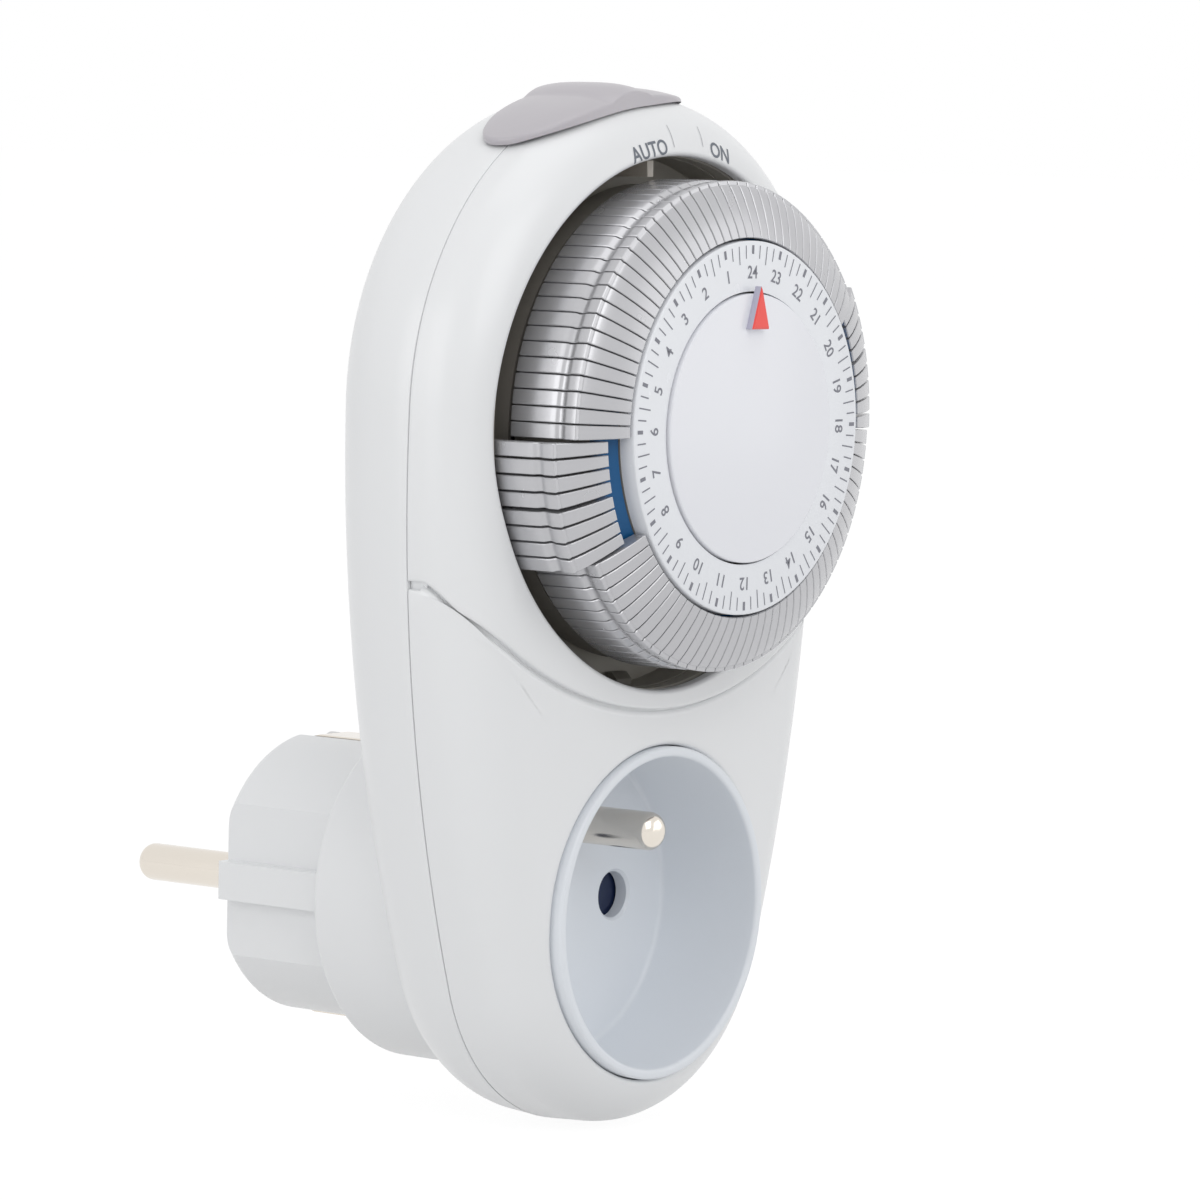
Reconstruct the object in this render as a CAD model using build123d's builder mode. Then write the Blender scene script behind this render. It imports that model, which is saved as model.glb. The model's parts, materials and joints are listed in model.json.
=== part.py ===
"""Plug-in timer switch: a 24-hour segment dial over a socket, on a two-pin earthed plug.

The plug and the socket share the Y axis and the face of the plug is at Y = 0.
+Z is up, the dial looks along -Y and the plug pins point along +Y.
"""

import math
import os

from build123d import *

os.makedirs("parts", exist_ok=True)

# Clearances
RUN = 0.05  # radial, a turning fit
PLAY = 0.3  # between pieces that pass or lie beside each other
SEAT = 0.15  # round a piece set in a hole of its own body

# Housing
TOP_R = 38.2  # top arc of the outline
TOP_RISE = 2.25  # its centre above the dial axis
FOOT_WALL = 6.65  # between the socket and the foot of the housing
SIDE_R = 211.0  # side arcs
CASE_DEPTH = 26.6  # front cover to back
REAR_Y = -31.9
REAR_PART = 13.1  # back to widest section
FRONT_DRAFT = 3.0
REAR_DRAFT = 4.5
FRONT_ROUND = 8.3
REAR_ROUND = 10.0
CROWN_R = 303.0  # front covers bow across their width
WALL = 2.0
SEAM_BACK = 15.3  # parting plane ahead of the back, at the dial axis
SEAM_TILT = 1.5
STEP_R = 54.0  # arc between the dial bezel and the socket cover
STEP_LAND = 2.3  # cover left between the arc and the recess
STEP_GAP = 0.4
STEP_DROP = 0.5

# Dial recess
RIM_W = 5.4  # housing outline to recess
RECESS_WALL = 1.6
RECESS_ROUND = 1.4
RECESS_DEPTH = 9.1  # front cover to recess floor
DISH_DEPTH = 2.2
DISH_PLATE = 1.5
NECK = 5.5  # between the recess dish and the socket cup

# Dial
RECESS_GAP = 2.8  # recess to segments
TAB_SPAN = 6.9  # segment width across the dial
FACE_GAP = 0.3
FACE_STAND = 20.0  # dial face ahead of the recess floor
FACE_T = 2.2
FACE_RING = 6.4  # printed ring outside the disc
DISC_RISE = 0.5
DISC_T = 1.7
POINTER_LEN = 5.2
POINTER_OUT = 0.9  # tip beyond the disc
POINTER_W = 3.4
POINTER_T = 1.1
POST_R = 3.0
HUB_WALL = 3.2
DRUM_WALL = 1.8
DRUM_DEPTH = 17.5
FLANGE_T = 3.5
FLANGE_LAP = 0.7  # flange inside the segments' outer radius
RING_W = 2.9  # blue ring beyond the segments' inner ends

# Switching segments
TABS = 96
TAB_GAP = 0.33  # degrees between two tabs
TAB_LIP_Y = 0.35  # inner end, behind the dial face
TAB_RIDGE_Y = 3.75
TAB_BEND_Y = 5.6
TAB_BEND = 0.3
TAB_LEN = 13.2
TAB_T = 1.6
TAB_SEAT = 2.2  # underside at the inner end, behind the dial face
TAB_SLOPE = 30.0
TAB_TRAVEL = 2.8

# Gear train
DIAL_TEETH = 60
PINION_TEETH = 10
WHEEL_TEETH = 48
MOTOR_TEETH = 8
GEAR_T = 2.5
WHEEL_T = 1.5
ARBOR_ANGLE = 200.0  # seen from the front, from +X towards +Z
ARBOR_R = 1.0
COLLAR_WALL = 0.7
MOTOR_ANGLE = -60.0
MOTOR_R = 12.5
MOTOR_LEN = 11.0
SHAFT_R = 0.75
SHAFT_GRIP = 3.0

# Override slide
CAP_RISE = 0.4  # top over its underside
CAP_CROWN = 0.6  # fall of the top towards its long edges
CAP_LEN = 36.8
CAP_W = 16.4
CAP_END_W = 13.6
CAP_BOW = 2.0
CAP_CORNER = 5.0
CAP_AHEAD = 2.0  # middle of the cap ahead of the widest section
CAP_ANGLE = -6.4  # from straight up, clockwise seen from the front
THUMB_RISE = 0.7
THUMB_R = 14.0
OVERRIDE_TURN = 10.4
STEM_SPREAD = 7.0
STEM_T = 2.0
ARM_T = 1.2
CARRIAGE_RING = 2.5
MARK_ANGLE = -2.6
MARK_SPREAD = 2.2
MARK_W = 2.0

# Socket
CUP_R = 19.4
CUP_WALL = 1.3
CUP_SINK = 0.1  # rim of the cup behind the front cover's crown
CUP_DEPTH = 15.1
CUP_FLOOR_T = 2.0
CUP_SKIRT = 5.3
SKIRT_WALL = 1.5
PIN_PITCH = 19.0
PIN_R = 2.4
SHANK_R = 1.75  # turned-down part of a pin inside the mouldings
HOLE_R = 2.95
EARTH_Z = 10.0
EARTH_LEN = 14.1
EARTH_FLANGE = 0.9
SOCKET_LIP = 0.8
SHUTTER_SIDE = 0.55
SHUTTER_H = 7.8
SHUTTER_T = 2.0
SHUTTER_LAP = 0.65
SHUTTER_RAMP = 1.2
FOOT_W = 6.0
FOOT_H = 3.0
GUIDE_W = 1.5
GUIDE_LOW = -9.0
GUIDE_HIGH = 4.0
SHUTTER_SPRING_R = 2.2
SPRING_WIRE = 0.5
SPRING_SEAT_Z = -14.0
SPRING_SEAT_T = 2.5

# Plug
BOSS_H = 11.9
BOSS_WALL = 2.0
BOSS_ROUND = 0.8
PLUG_R = 18.05
PLUG_FLAT_IN = 2.85
PLUG_ROUND = 1.5
RAIL_IN = 0.45
RAIL_H = 4.8
RAIL_CHAMFER = 0.6
FLANGE_GRIP = 1.65
FLANGE_GRIP_T = 2.0
PIN_LEN = 19.2
COLLAR_R = 3.4
COLLAR_T = 1.6
EARTH_HOLE_R = 2.5
EARTH_HOLE_DEPTH = 16.0
HOLE_CHAMFER = 0.4
CLIP_W = 5.6
CLIP_T = 0.8
CLIP_IN = 1.75
CLIP_BOW = 0.9
SLEEVE_R = 2.55
SLEEVE_WALL = 0.7
SLEEVE_LEN = 14.5
SLIT = 0.8
STRAP_T = 0.6

# Switch
BAR_T = 0.7
BAR_W = 3.0
PLUNGER_W = 3.0
PLUNGER_DROP = 3.0  # plunger below the recess dish
PLUNGER_H = 2.4
PLUNGER_TRAVEL = 1.2
NOSE_GAP = 1.2  # plunger's nose to the segments
NOSE_AHEAD = 1.9  # and ahead of the recess floor
NOSE_L = 1.6
BRIDGE_T = 0.6
CONTACT_X = 7.0
PAD_L = 3.5
SPRING_X = 15.0
PLUNGER_SPRING_R = 1.8
SPRING_LUG = 0.7
PLUNGER_SPRING_H = 6.2

# Screws
SCREW_ANGLE = 34.6  # from straight down
SCREW_OUT = 5.2  # beyond the recess dish
SCREW_R = 1.3
SCREW_HEAD_R = 2.6
SCREW_HEAD_T = 1.8
SCREW_SINK = 0.4
POST_WALL = 1.7

# Places that follow from the sizes
CUP_OUT_R = CUP_R + CUP_WALL
RECESS_R = TOP_R - RIM_W
DISH_R = RECESS_R + RECESS_WALL
DIAL_Z = CUP_OUT_R + NECK + DISH_R  # dial axis above the plug axis
TOP_Z = DIAL_Z + TOP_RISE
FOOT_R = CUP_OUT_R + FOOT_WALL
FOOT_Z = 0.3
STEP_Z = DIAL_Z - RECESS_R - STEP_LAND + STEP_R
FRONT_Y = REAR_Y - CASE_DEPTH
WIDE_Y = REAR_Y - REAR_PART
SEAM_Y = REAR_Y - SEAM_BACK
REAR_IN_Y = REAR_Y - WALL
DISH_FLOOR_Y = FRONT_Y + RECESS_DEPTH
DISH_BACK_Y = DISH_FLOOR_Y + DISH_PLATE
DISH_FRONT_Y = DISH_FLOOR_Y - DISH_DEPTH

TAB_OUT_R = RECESS_R - RECESS_GAP
TAB_IN_R = TAB_OUT_R - TAB_SPAN
FACE_R = TAB_IN_R - FACE_GAP
FACE_Y = DISH_FLOOR_Y - FACE_STAND
PLATE_Y = FACE_Y + FACE_T
DISC_R = FACE_R - FACE_RING
DISC_BACK_Y = FACE_Y - DISC_RISE + DISC_T
POINTER_TIP_R = DISC_R + POINTER_OUT
HUB_R = POST_R + HUB_WALL
FLANGE_R = TAB_OUT_R - FLANGE_LAP
DRUM_R = TAB_OUT_R - TAB_T - PLAY
DIAL_MODULE = TAB_OUT_R / 50
MOTOR_MODULE = TAB_OUT_R / 60

CAP_Y = WIDE_Y - CAP_AHEAD
CAP_R = TOP_R + TOP_RISE + PLAY  # underside of the cap, about the dial axis
MARK_R = TAB_OUT_R + 0.2

CUP_FRONT_Y = FRONT_Y + CUP_SINK
CUP_FLOOR_Y = CUP_FRONT_Y + CUP_DEPTH
CUP_SKIRT_Y = CUP_FLOOR_Y + CUP_FLOOR_T + CUP_SKIRT
EARTH_TIP_Y = CUP_FLOOR_Y - EARTH_LEN
PIN_X = PIN_PITCH / 2
SHUTTER_W = PIN_PITCH + 2 * (HOLE_R + SHUTTER_SIDE)

BOSS_Y = REAR_Y + BOSS_H
BOSS_IN_R = PLUG_R + FLANGE_GRIP + PLAY
BOSS_R = BOSS_IN_R + BOSS_WALL
INSERT_Y = BOSS_Y - BOSS_WALL - FLANGE_GRIP_T
PLUG_FLAT = PLUG_R - PLUG_FLAT_IN
RAIL_X = PLUG_R - RAIL_IN
CLIP_Z = PLUG_R - CLIP_IN
SLEEVE_OUT_R = SLEEVE_R + SLEEVE_WALL
SLEEVE_Y = INSERT_Y - SLEEVE_LEN

PLUNGER_Z = DIAL_Z - DISH_R - PLUNGER_DROP
PLUNGER_SEAT_Z = PLUNGER_Z - PLUNGER_SPRING_H
NOSE_R = TAB_OUT_R + NOSE_GAP
NOSE_Y = DISH_FLOOR_Y - NOSE_AHEAD

SCREW_X = (DISH_R + SCREW_OUT) * math.sin(math.radians(SCREW_ANGLE))
SCREW_Z = DIAL_Z - (DISH_R + SCREW_OUT) * math.cos(math.radians(SCREW_ANGLE))

SEAM_PLANE = Plane(
    origin=(0, SEAM_Y, DIAL_Z),
    x_dir=(1, 0, 0),
    z_dir=(0, math.cos(math.radians(SEAM_TILT)), math.sin(math.radians(SEAM_TILT))),
)
DIAL_AXIS = Axis((0, 0, DIAL_Z), (0, -1, 0))


def facing(y, x=0.0, z=0.0):
    """Sketch plane seen from the front: local x is X, local y is Z, extrusion runs to -Y."""
    return Plane(origin=(x, y, z), x_dir=(1, 0, 0), z_dir=(0, -1, 0))


def radial(angle, z=DIAL_Z):
    """Plane through the axis at this angle: local x runs outwards, local y is Y."""
    turn = math.radians(angle)
    return Plane(
        origin=(0, 0, z),
        x_dir=(math.cos(turn), 0, math.sin(turn)),
        z_dir=(-math.sin(turn), 0, math.cos(turn)),
    )


def outline(inset):
    """Teardrop of a top arc and a foot arc, joined by side arcs tangent to both."""
    rise = TOP_Z - FOOT_Z
    to_foot = SIDE_R - FOOT_R
    to_top = SIDE_R - TOP_R
    mid_z = (to_foot**2 - to_top**2 + rise**2) / (2 * rise)
    mid_x = math.sqrt(to_foot**2 - mid_z**2)
    up = ((mid_x / to_top), (rise - mid_z) / to_top)
    down = ((mid_x / to_foot), -mid_z / to_foot)
    half = math.hypot(up[0] + down[0], up[1] + down[1])
    side = ((up[0] + down[0]) / half, (up[1] + down[1]) / half)
    big, small, flank = TOP_R - inset, FOOT_R - inset, SIDE_R - inset
    high = (up[0] * big, TOP_Z + up[1] * big)
    low = (down[0] * small, FOOT_Z + down[1] * small)
    wide = (side[0] * flank - mid_x, FOOT_Z + mid_z + side[1] * flank)
    with BuildSketch() as face:
        with BuildLine():
            ThreePointArc((-high[0], high[1]), (0, TOP_Z + big), high)
            ThreePointArc(high, wide, low)
            ThreePointArc(low, (0, FOOT_Z - small), (-low[0], low[1]))
            ThreePointArc((-low[0], low[1]), (-wide[0], wide[1]), (-high[0], high[1]))
        make_face()
    return face.sketch


def case_form(inset, drop=0.0):
    """Solid of the whole housing: drafted both ways, crowned in front, rounded at both edges."""
    nose = FRONT_Y + inset + drop
    tail = REAR_Y - inset
    with BuildPart() as form:
        with BuildSketch(facing(WIDE_Y)):
            add(outline(inset))
        extrude(amount=WIDE_Y - nose, taper=FRONT_DRAFT)
        with BuildSketch(Plane(origin=(0, WIDE_Y, 0), x_dir=(-1, 0, 0), z_dir=(0, 1, 0))):
            add(outline(inset))
        extrude(amount=tail - WIDE_Y, taper=REAR_DRAFT)
        with BuildSketch(Plane.XY.offset(FOOT_Z - 2 * FOOT_R)):
            with Locations((0, nose + CROWN_R)):
                Circle(CROWN_R)
        extrude(amount=2 * FOOT_R + TOP_Z + 2 * TOP_R, mode=Mode.INTERSECT)
        front_edges = form.edges().filter_by(lambda e: e.center().Y < nose + 4.0)
        fillet(front_edges, FRONT_ROUND - inset)
        rear_edges = form.edges().filter_by(lambda e: e.center().Y > tail - 0.01)
        fillet(rear_edges, REAR_ROUND - inset)
    return form.part


def turned(points, z):
    """Ring or disc turned about an axis along Y; points are (radius, y)."""
    with BuildPart() as ring:
        with BuildSketch(radial(0, z)):
            with BuildLine():
                Polyline(*points, close=True)
            make_face()
        revolve(axis=Axis((0, 0, z), (0, 1, 0)))
    return ring.part


def rod(radius, y_front, y_back, x=0.0, z=0.0):
    """Plain cylinder along Y."""
    with BuildPart() as bar:
        with BuildSketch(facing(y_back, x, z)):
            Circle(radius)
        extrude(amount=y_back - y_front)
    return bar.part


def block(x0, x1, y0, y1, z0, z1):
    """Plain bar between two corners."""
    with BuildPart() as bar:
        with BuildSketch(facing(y1, (x0 + x1) / 2, (z0 + z1) / 2)):
            Rectangle(x1 - x0, z1 - z0)
        extrude(amount=y1 - y0)
    return bar.part


def toothed(teeth, module, bore, phase=0.0):
    """Gear face with straight-sided teeth, thinned for backlash; one tooth stands at phase."""
    pitch = teeth * module / 2
    tip, root = pitch + 0.85 * module, pitch - 1.15 * module
    step = 2 * math.pi / teeth
    wide, slim = 0.27 * step, 0.13 * step
    points = []
    for index in range(teeth):
        mid = index * step + math.radians(phase)
        for radius, turn in ((root, -wide), (tip, -slim), (tip, slim), (root, wide)):
            points.append((radius * math.cos(mid + turn), radius * math.sin(mid + turn)))
    with BuildSketch() as face:
        with BuildLine():
            Polyline(*points, close=True)
        make_face()
        Circle(bore, mode=Mode.SUBTRACT)
    return face.sketch


def mesh_phase(angle, teeth, mate, phase=0.0):
    """Phase of the mate at this angle, so that one of its gaps takes a tooth of the first gear."""
    pitch = 360 / teeth
    off = (phase - angle + pitch / 2) % pitch - pitch / 2
    return angle + 180 - off * teeth / mate + 180 / mate


def coil(radius, wire, z_low, z_high, turns, x, y):
    """Compression spring along Z with its ends on z_low and z_high."""
    height = z_high - z_low - wire
    with BuildPart() as spring:
        with BuildLine() as path:
            Helix(pitch=height / turns, height=height, radius=radius, center=(0, 0, z_low + wire / 2))
        with BuildSketch(Plane(origin=path.line @ 0, z_dir=path.line % 0)):
            Circle(wire / 2)
        sweep()
    return spring.part.moved(Location((x, y, 0)))


# ---- housing ----
case_outer = case_form(0)
case_inner = case_form(WALL)
low_outer = case_form(0, STEP_DROP)
low_inner = case_form(WALL, STEP_DROP)

carriage_y = DISH_BACK_Y + PLAY
side_play = math.degrees(2 * PLAY / DISH_R)  # angle that leaves a play beside a piece
slot_low = 90 - (CAP_ANGLE + OVERRIDE_TURN + STEM_SPREAD / 2 + side_play)
slot_high = 90 - (CAP_ANGLE - STEM_SPREAD / 2 - side_play)
slot_y0, slot_y1 = carriage_y - PLAY, carriage_y + STEM_T + PLAY

with BuildPart() as stem_slot:
    with BuildSketch(radial(slot_low)):
        with BuildLine():
            Polyline(
                (DISH_R, slot_y0), (CAP_R + 2, slot_y0), (CAP_R + 2, slot_y1), (DISH_R, slot_y1), close=True
            )
        make_face()
    revolve(axis=DIAL_AXIS, revolution_arc=slot_high - slot_low)

post_r = SCREW_R + SEAT + POST_WALL
head_y = REAR_IN_Y + SCREW_SINK
switch_w = CONTACT_X + BAR_W / 2 + PLAY
with BuildPart() as rear_housing:
    add(case_outer)
    add(case_inner, mode=Mode.SUBTRACT)
    split(bisect_by=SEAM_PLANE, keep=Keep.TOP)
    add(rod(BOSS_R, CUP_SKIRT_Y, BOSS_Y))
    rim = rear_housing.edges().filter_by(GeomType.CIRCLE).sort_by(Axis.Y)[-1]
    fillet(rim, BOSS_ROUND)
    add(rod(BOSS_IN_R, CUP_SKIRT_Y - 1, BOSS_Y - BOSS_WALL), mode=Mode.SUBTRACT)
    add(rod(PLUG_R + SEAT, BOSS_Y - BOSS_WALL - 1, BOSS_Y + 1), mode=Mode.SUBTRACT)
    for side in (-1, 1):
        place = (side * SCREW_X, SCREW_Z)
        add(rod(post_r, DISH_BACK_Y, REAR_IN_Y + SEAT, *place))
        add(rod(SCREW_R + SEAT, DISH_BACK_Y - 1, REAR_Y + 1, *place), mode=Mode.SUBTRACT)
        add(rod(SCREW_HEAD_R + SEAT, head_y - SCREW_HEAD_T, REAR_Y + 1, *place), mode=Mode.SUBTRACT)
    switch_gap = block(-switch_w, switch_w, CUP_SKIRT_Y - 1, REAR_IN_Y, EARTH_Z + PIN_R, BOSS_R + 1)
    add(switch_gap, mode=Mode.SUBTRACT)
    add(stem_slot.part, mode=Mode.SUBTRACT)
rear_housing.part.label = "rear_housing"
export_step(rear_housing.part, "parts/rear_housing.step")

with BuildPart() as recess_ring:
    with BuildSketch(facing(DISH_FRONT_Y, 0, DIAL_Z)):
        Circle(DISH_R)
    extrude(amount=DISH_FRONT_Y - FRONT_Y + WALL)
    add(case_outer, mode=Mode.INTERSECT)

with BuildPart() as dial_bezel:
    add(case_outer)
    add(case_inner, mode=Mode.SUBTRACT)
    add(recess_ring.part)
    split(bisect_by=SEAM_PLANE, keep=Keep.BOTTOM)
    add(rod(RECESS_R, FRONT_Y - WALL, 0, 0, DIAL_Z), mode=Mode.SUBTRACT)
    add(rod(STEP_R, FRONT_Y - WALL, 0, 0, STEP_Z), mode=Mode.INTERSECT)
    lip = dial_bezel.edges().filter_by(
        lambda e: e.center().Y < DISH_FRONT_Y - 0.5
        and abs(math.hypot((e @ 0).X, (e @ 0).Z - DIAL_Z) - RECESS_R) < 0.01
        and abs(math.hypot((e @ 0.5).X, (e @ 0.5).Z - DIAL_Z) - RECESS_R) < 0.01
    )
    fillet(lip, RECESS_ROUND)
dial_bezel.part.label = "dial_bezel"
export_step(dial_bezel.part, "parts/dial_bezel.step")

with BuildPart() as socket_cover:
    add(low_outer)
    add(low_inner, mode=Mode.SUBTRACT)
    split(bisect_by=SEAM_PLANE, keep=Keep.BOTTOM)
    add(rod(STEP_R + STEP_GAP, FRONT_Y - WALL, 0, 0, STEP_Z), mode=Mode.SUBTRACT)
    add(rod(CUP_OUT_R + SEAT, FRONT_Y - WALL, WIDE_Y), mode=Mode.SUBTRACT)
    mouth = socket_cover.edges().filter_by(
        lambda e: e.center().Y < FRONT_Y + STEP_DROP + WALL - 0.6
        and abs(math.hypot((e @ 0).X, (e @ 0).Z) - CUP_OUT_R - SEAT) < 0.01
        and abs(math.hypot((e @ 0.5).X, (e @ 0.5).Z) - CUP_OUT_R - SEAT) < 0.01
    )
    fillet(mouth, SOCKET_LIP)
socket_cover.part.label = "socket_cover"
export_step(socket_cover.part, "parts/socket_cover.step")

arbor_x = (DIAL_TEETH + PINION_TEETH) * DIAL_MODULE / 2 * math.cos(math.radians(ARBOR_ANGLE))
arbor_z = DIAL_Z + (DIAL_TEETH + PINION_TEETH) * DIAL_MODULE / 2 * math.sin(math.radians(ARBOR_ANGLE))
motor_x = arbor_x + (WHEEL_TEETH + MOTOR_TEETH) * MOTOR_MODULE / 2 * math.cos(math.radians(MOTOR_ANGLE))
motor_z = arbor_z + (WHEEL_TEETH + MOTOR_TEETH) * MOTOR_MODULE / 2 * math.sin(math.radians(MOTOR_ANGLE))
mark_low = 90 - (MARK_ANGLE + OVERRIDE_TURN + MARK_SPREAD / 2 + side_play)
mark_high = 90 - (MARK_ANGLE - MARK_SPREAD / 2 - side_play)
drum_back = FACE_Y + DRUM_DEPTH
flange_y = drum_back - FLANGE_T
gear_y = drum_back - 2 * GEAR_T
run_r = TAB_TRAVEL * math.cos(math.radians(TAB_SLOPE))
run_y = TAB_TRAVEL * math.sin(math.radians(TAB_SLOPE))

with BuildPart() as mark_slot:
    with BuildSketch(radial(mark_low)):
        with Locations((MARK_R + MARK_W / 2, DISH_FLOOR_Y)):
            Rectangle(MARK_W + 2 * PLAY, 4 * DISH_PLATE)
    revolve(axis=DIAL_AXIS, revolution_arc=mark_high - mark_low)

with BuildPart() as chassis_plate:
    add(rod(DISH_R, DISH_FRONT_Y, DISH_BACK_Y, 0, DIAL_Z))
    for side in (-1, 1):
        with BuildSketch(facing(DISH_BACK_Y, side * SCREW_X, SCREW_Z)):
            Circle(post_r)
            with Locations(Location((0, 0, 0), (0, 0, 90 + side * SCREW_ANGLE))):
                with Locations((SCREW_OUT / 2 + RECESS_WALL, 0)):
                    Rectangle(SCREW_OUT + 2 * RECESS_WALL, 2 * post_r)
        extrude(amount=DISH_PLATE)
        add(rod(SCREW_R - SEAT, DISH_FRONT_Y, DISH_BACK_Y + 1, side * SCREW_X, SCREW_Z), mode=Mode.SUBTRACT)
    add(rod(RECESS_R, DISH_FRONT_Y - 1, DISH_FLOOR_Y, 0, DIAL_Z), mode=Mode.SUBTRACT)
    add(rod(POST_R + SEAT, DISH_FRONT_Y - 1, DISH_BACK_Y + 1, 0, DIAL_Z), mode=Mode.SUBTRACT)
    arbor_hole = rod(ARBOR_R + COLLAR_WALL + PLAY, DISH_FRONT_Y - 1, DISH_BACK_Y + 1, arbor_x, arbor_z)
    add(arbor_hole, mode=Mode.SUBTRACT)
    add(mark_slot.part, mode=Mode.SUBTRACT)
    gap = PLUNGER_W / 2 + PLAY
    nose_z = DIAL_Z - NOSE_R + PLAY
    nose_back = NOSE_Y + NOSE_L + PLAY
    add(block(-gap, gap, DISH_FRONT_Y - 1, nose_back, DIAL_Z - DISH_R - 1, nose_z), mode=Mode.SUBTRACT)
chassis_plate.part.label = "chassis_plate"
export_step(chassis_plate.part, "parts/chassis_plate.step")

with BuildPart() as case_screws:
    for side in (-1, 1):
        add(rod(SCREW_HEAD_R, head_y - SCREW_HEAD_T + PLAY, head_y + PLAY, side * SCREW_X, SCREW_Z))
        add(rod(SCREW_R, DISH_BACK_Y, head_y - SCREW_HEAD_T + PLAY, side * SCREW_X, SCREW_Z))
case_screws.part.label = "case_screws"
export_step(case_screws.part, "parts/case_screws.step")

# ---- dial ----
with BuildPart() as dial_post:
    add(rod(POST_R, DISC_BACK_Y, REAR_IN_Y, 0, DIAL_Z))
    add(rod(POST_R + CARRIAGE_RING, carriage_y + STEM_T + PLAY, REAR_IN_Y, 0, DIAL_Z))
dial_post.part.label = "dial_post"
export_step(dial_post.part, "parts/dial_post.step")

with BuildPart() as center_disc:
    add(rod(DISC_R, FACE_Y - DISC_RISE, DISC_BACK_Y, 0, DIAL_Z))
    fillet(center_disc.edges().sort_by(Axis.Y)[0], DISC_RISE / 2)
center_disc.part.label = "center_disc"
export_step(center_disc.part, "parts/center_disc.step")

with BuildPart() as pointer:
    with BuildSketch(facing(FACE_Y - DISC_RISE, 0, DIAL_Z)):
        with BuildLine():
            base_r = POINTER_TIP_R - POINTER_LEN
            Polyline((-POINTER_W / 2, base_r), (POINTER_W / 2, base_r), (0, POINTER_TIP_R), close=True)
        make_face()
    extrude(amount=POINTER_T)
pointer.part.label = "pointer"
export_step(pointer.part, "parts/pointer.step")

seat_r = FACE_R + FACE_GAP / 3
blue_r = TAB_IN_R + RING_W
slope = math.tan(math.radians(TAB_SLOPE))
under_y = FACE_Y + TAB_SEAT


def on_slope(radius):
    """Y of the drum's sliding cone at this radius, a play behind the tabs."""
    return under_y + (radius - TAB_IN_R) * slope + PLAY / math.cos(math.radians(TAB_SLOPE))


seat_y = on_slope(blue_r) + DRUM_WALL / 2

with BuildPart() as dial_drum:
    inner_r = DRUM_R - DRUM_WALL
    add(
        turned(
            [
                (POST_R + RUN, PLATE_Y),
                (seat_r, PLATE_Y),
                (seat_r, seat_y),
                (blue_r + SEAT, seat_y),
                (blue_r + SEAT, on_slope(blue_r + SEAT)),
                (DRUM_R, on_slope(DRUM_R)),
                (DRUM_R, flange_y),
                (FLANGE_R, flange_y),
                (FLANGE_R, drum_back),
                (inner_r, drum_back),
                (inner_r, seat_y + DRUM_WALL),
                (seat_r - DRUM_WALL, seat_y + DRUM_WALL / 2),
                (seat_r - 2 * DRUM_WALL, PLATE_Y + DRUM_WALL),
                (HUB_R, PLATE_Y + DRUM_WALL),
                (HUB_R, DISH_FLOOR_Y - PLAY),
                (POST_R + RUN, DISH_FLOOR_Y - PLAY),
            ],
            DIAL_Z,
        )
    )
    with BuildSketch(facing(gear_y + GEAR_T, 0, DIAL_Z)):
        add(toothed(DIAL_TEETH, DIAL_MODULE, HUB_R - DRUM_WALL / 2))
    extrude(amount=GEAR_T)
dial_drum.part.label = "dial_drum"
export_step(dial_drum.part, "parts/dial_drum.step")

with BuildPart() as dial_face:
    add(rod(FACE_R, FACE_Y, PLATE_Y, 0, DIAL_Z))
    fillet(dial_face.edges().sort_by(Axis.Y)[0], DISC_RISE / 2)
    add(rod(DISC_R + PLAY, FACE_Y - 1, PLATE_Y + 1, 0, DIAL_Z), mode=Mode.SUBTRACT)
dial_face.part.label = "dial_face"
export_step(dial_face.part, "parts/dial_face.step")

with BuildPart() as blue_ring:
    ring_r = seat_r + SEAT
    cone = [(ring_r, on_slope(ring_r)), (blue_r, on_slope(blue_r))]
    add(turned(cone + [(blue_r, seat_y), (ring_r, seat_y)], DIAL_Z))
blue_ring.part.label = "blue_ring"
export_step(blue_ring.part, "parts/blue_ring.step")


def tab(angle):
    """One segment: a sloped top that runs into a band along the rim of the drum."""
    lip, ridge, bend = FACE_Y + TAB_LIP_Y, FACE_Y + TAB_RIDGE_Y, FACE_Y + TAB_BEND_Y
    inner = TAB_OUT_R - TAB_T
    fall = (ridge - lip) / TAB_SPAN
    mid_r, nose_r = TAB_OUT_R - TAB_SPAN / 2, TAB_OUT_R - TAB_T / 3
    mid_y = lip + (mid_r - TAB_IN_R) * fall * 0.82  # the top bulges a little
    with BuildPart() as one:
        with BuildSketch(radial(angle - (360 / TABS - TAB_GAP) / 2)):
            with BuildLine():
                Polyline(
                    (TAB_IN_R, lip),
                    (mid_r, mid_y),
                    (nose_r, ridge - TAB_T / 3),
                    (TAB_OUT_R, ridge),
                    (TAB_OUT_R - TAB_BEND, bend),
                    (TAB_OUT_R, bend + 2 * TAB_BEND),
                    (TAB_OUT_R, FACE_Y + TAB_LEN),
                    (inner, FACE_Y + TAB_LEN),
                    (inner, under_y + (inner - TAB_IN_R) * slope),
                    (TAB_IN_R, under_y),
                    close=True,
                )
            make_face()
        revolve(axis=DIAL_AXIS, revolution_arc=360 / TABS - TAB_GAP)
    return one.part


step_angle = 360 / TABS
hour_tabs = TABS // 24


def tab_group(first, last, out):
    """Tabs number first to last, counted from the 24 mark, pushed out together or not."""
    mean = math.radians(90 + step_angle * (first + last) / 2)
    with BuildPart() as group:
        for number in range(first, last + 1):
            add(tab(90 + step_angle * number))
    if not out:
        return group.part
    return group.part.moved(Location((run_r * math.cos(mean), run_y, run_r * math.sin(mean))))


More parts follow.
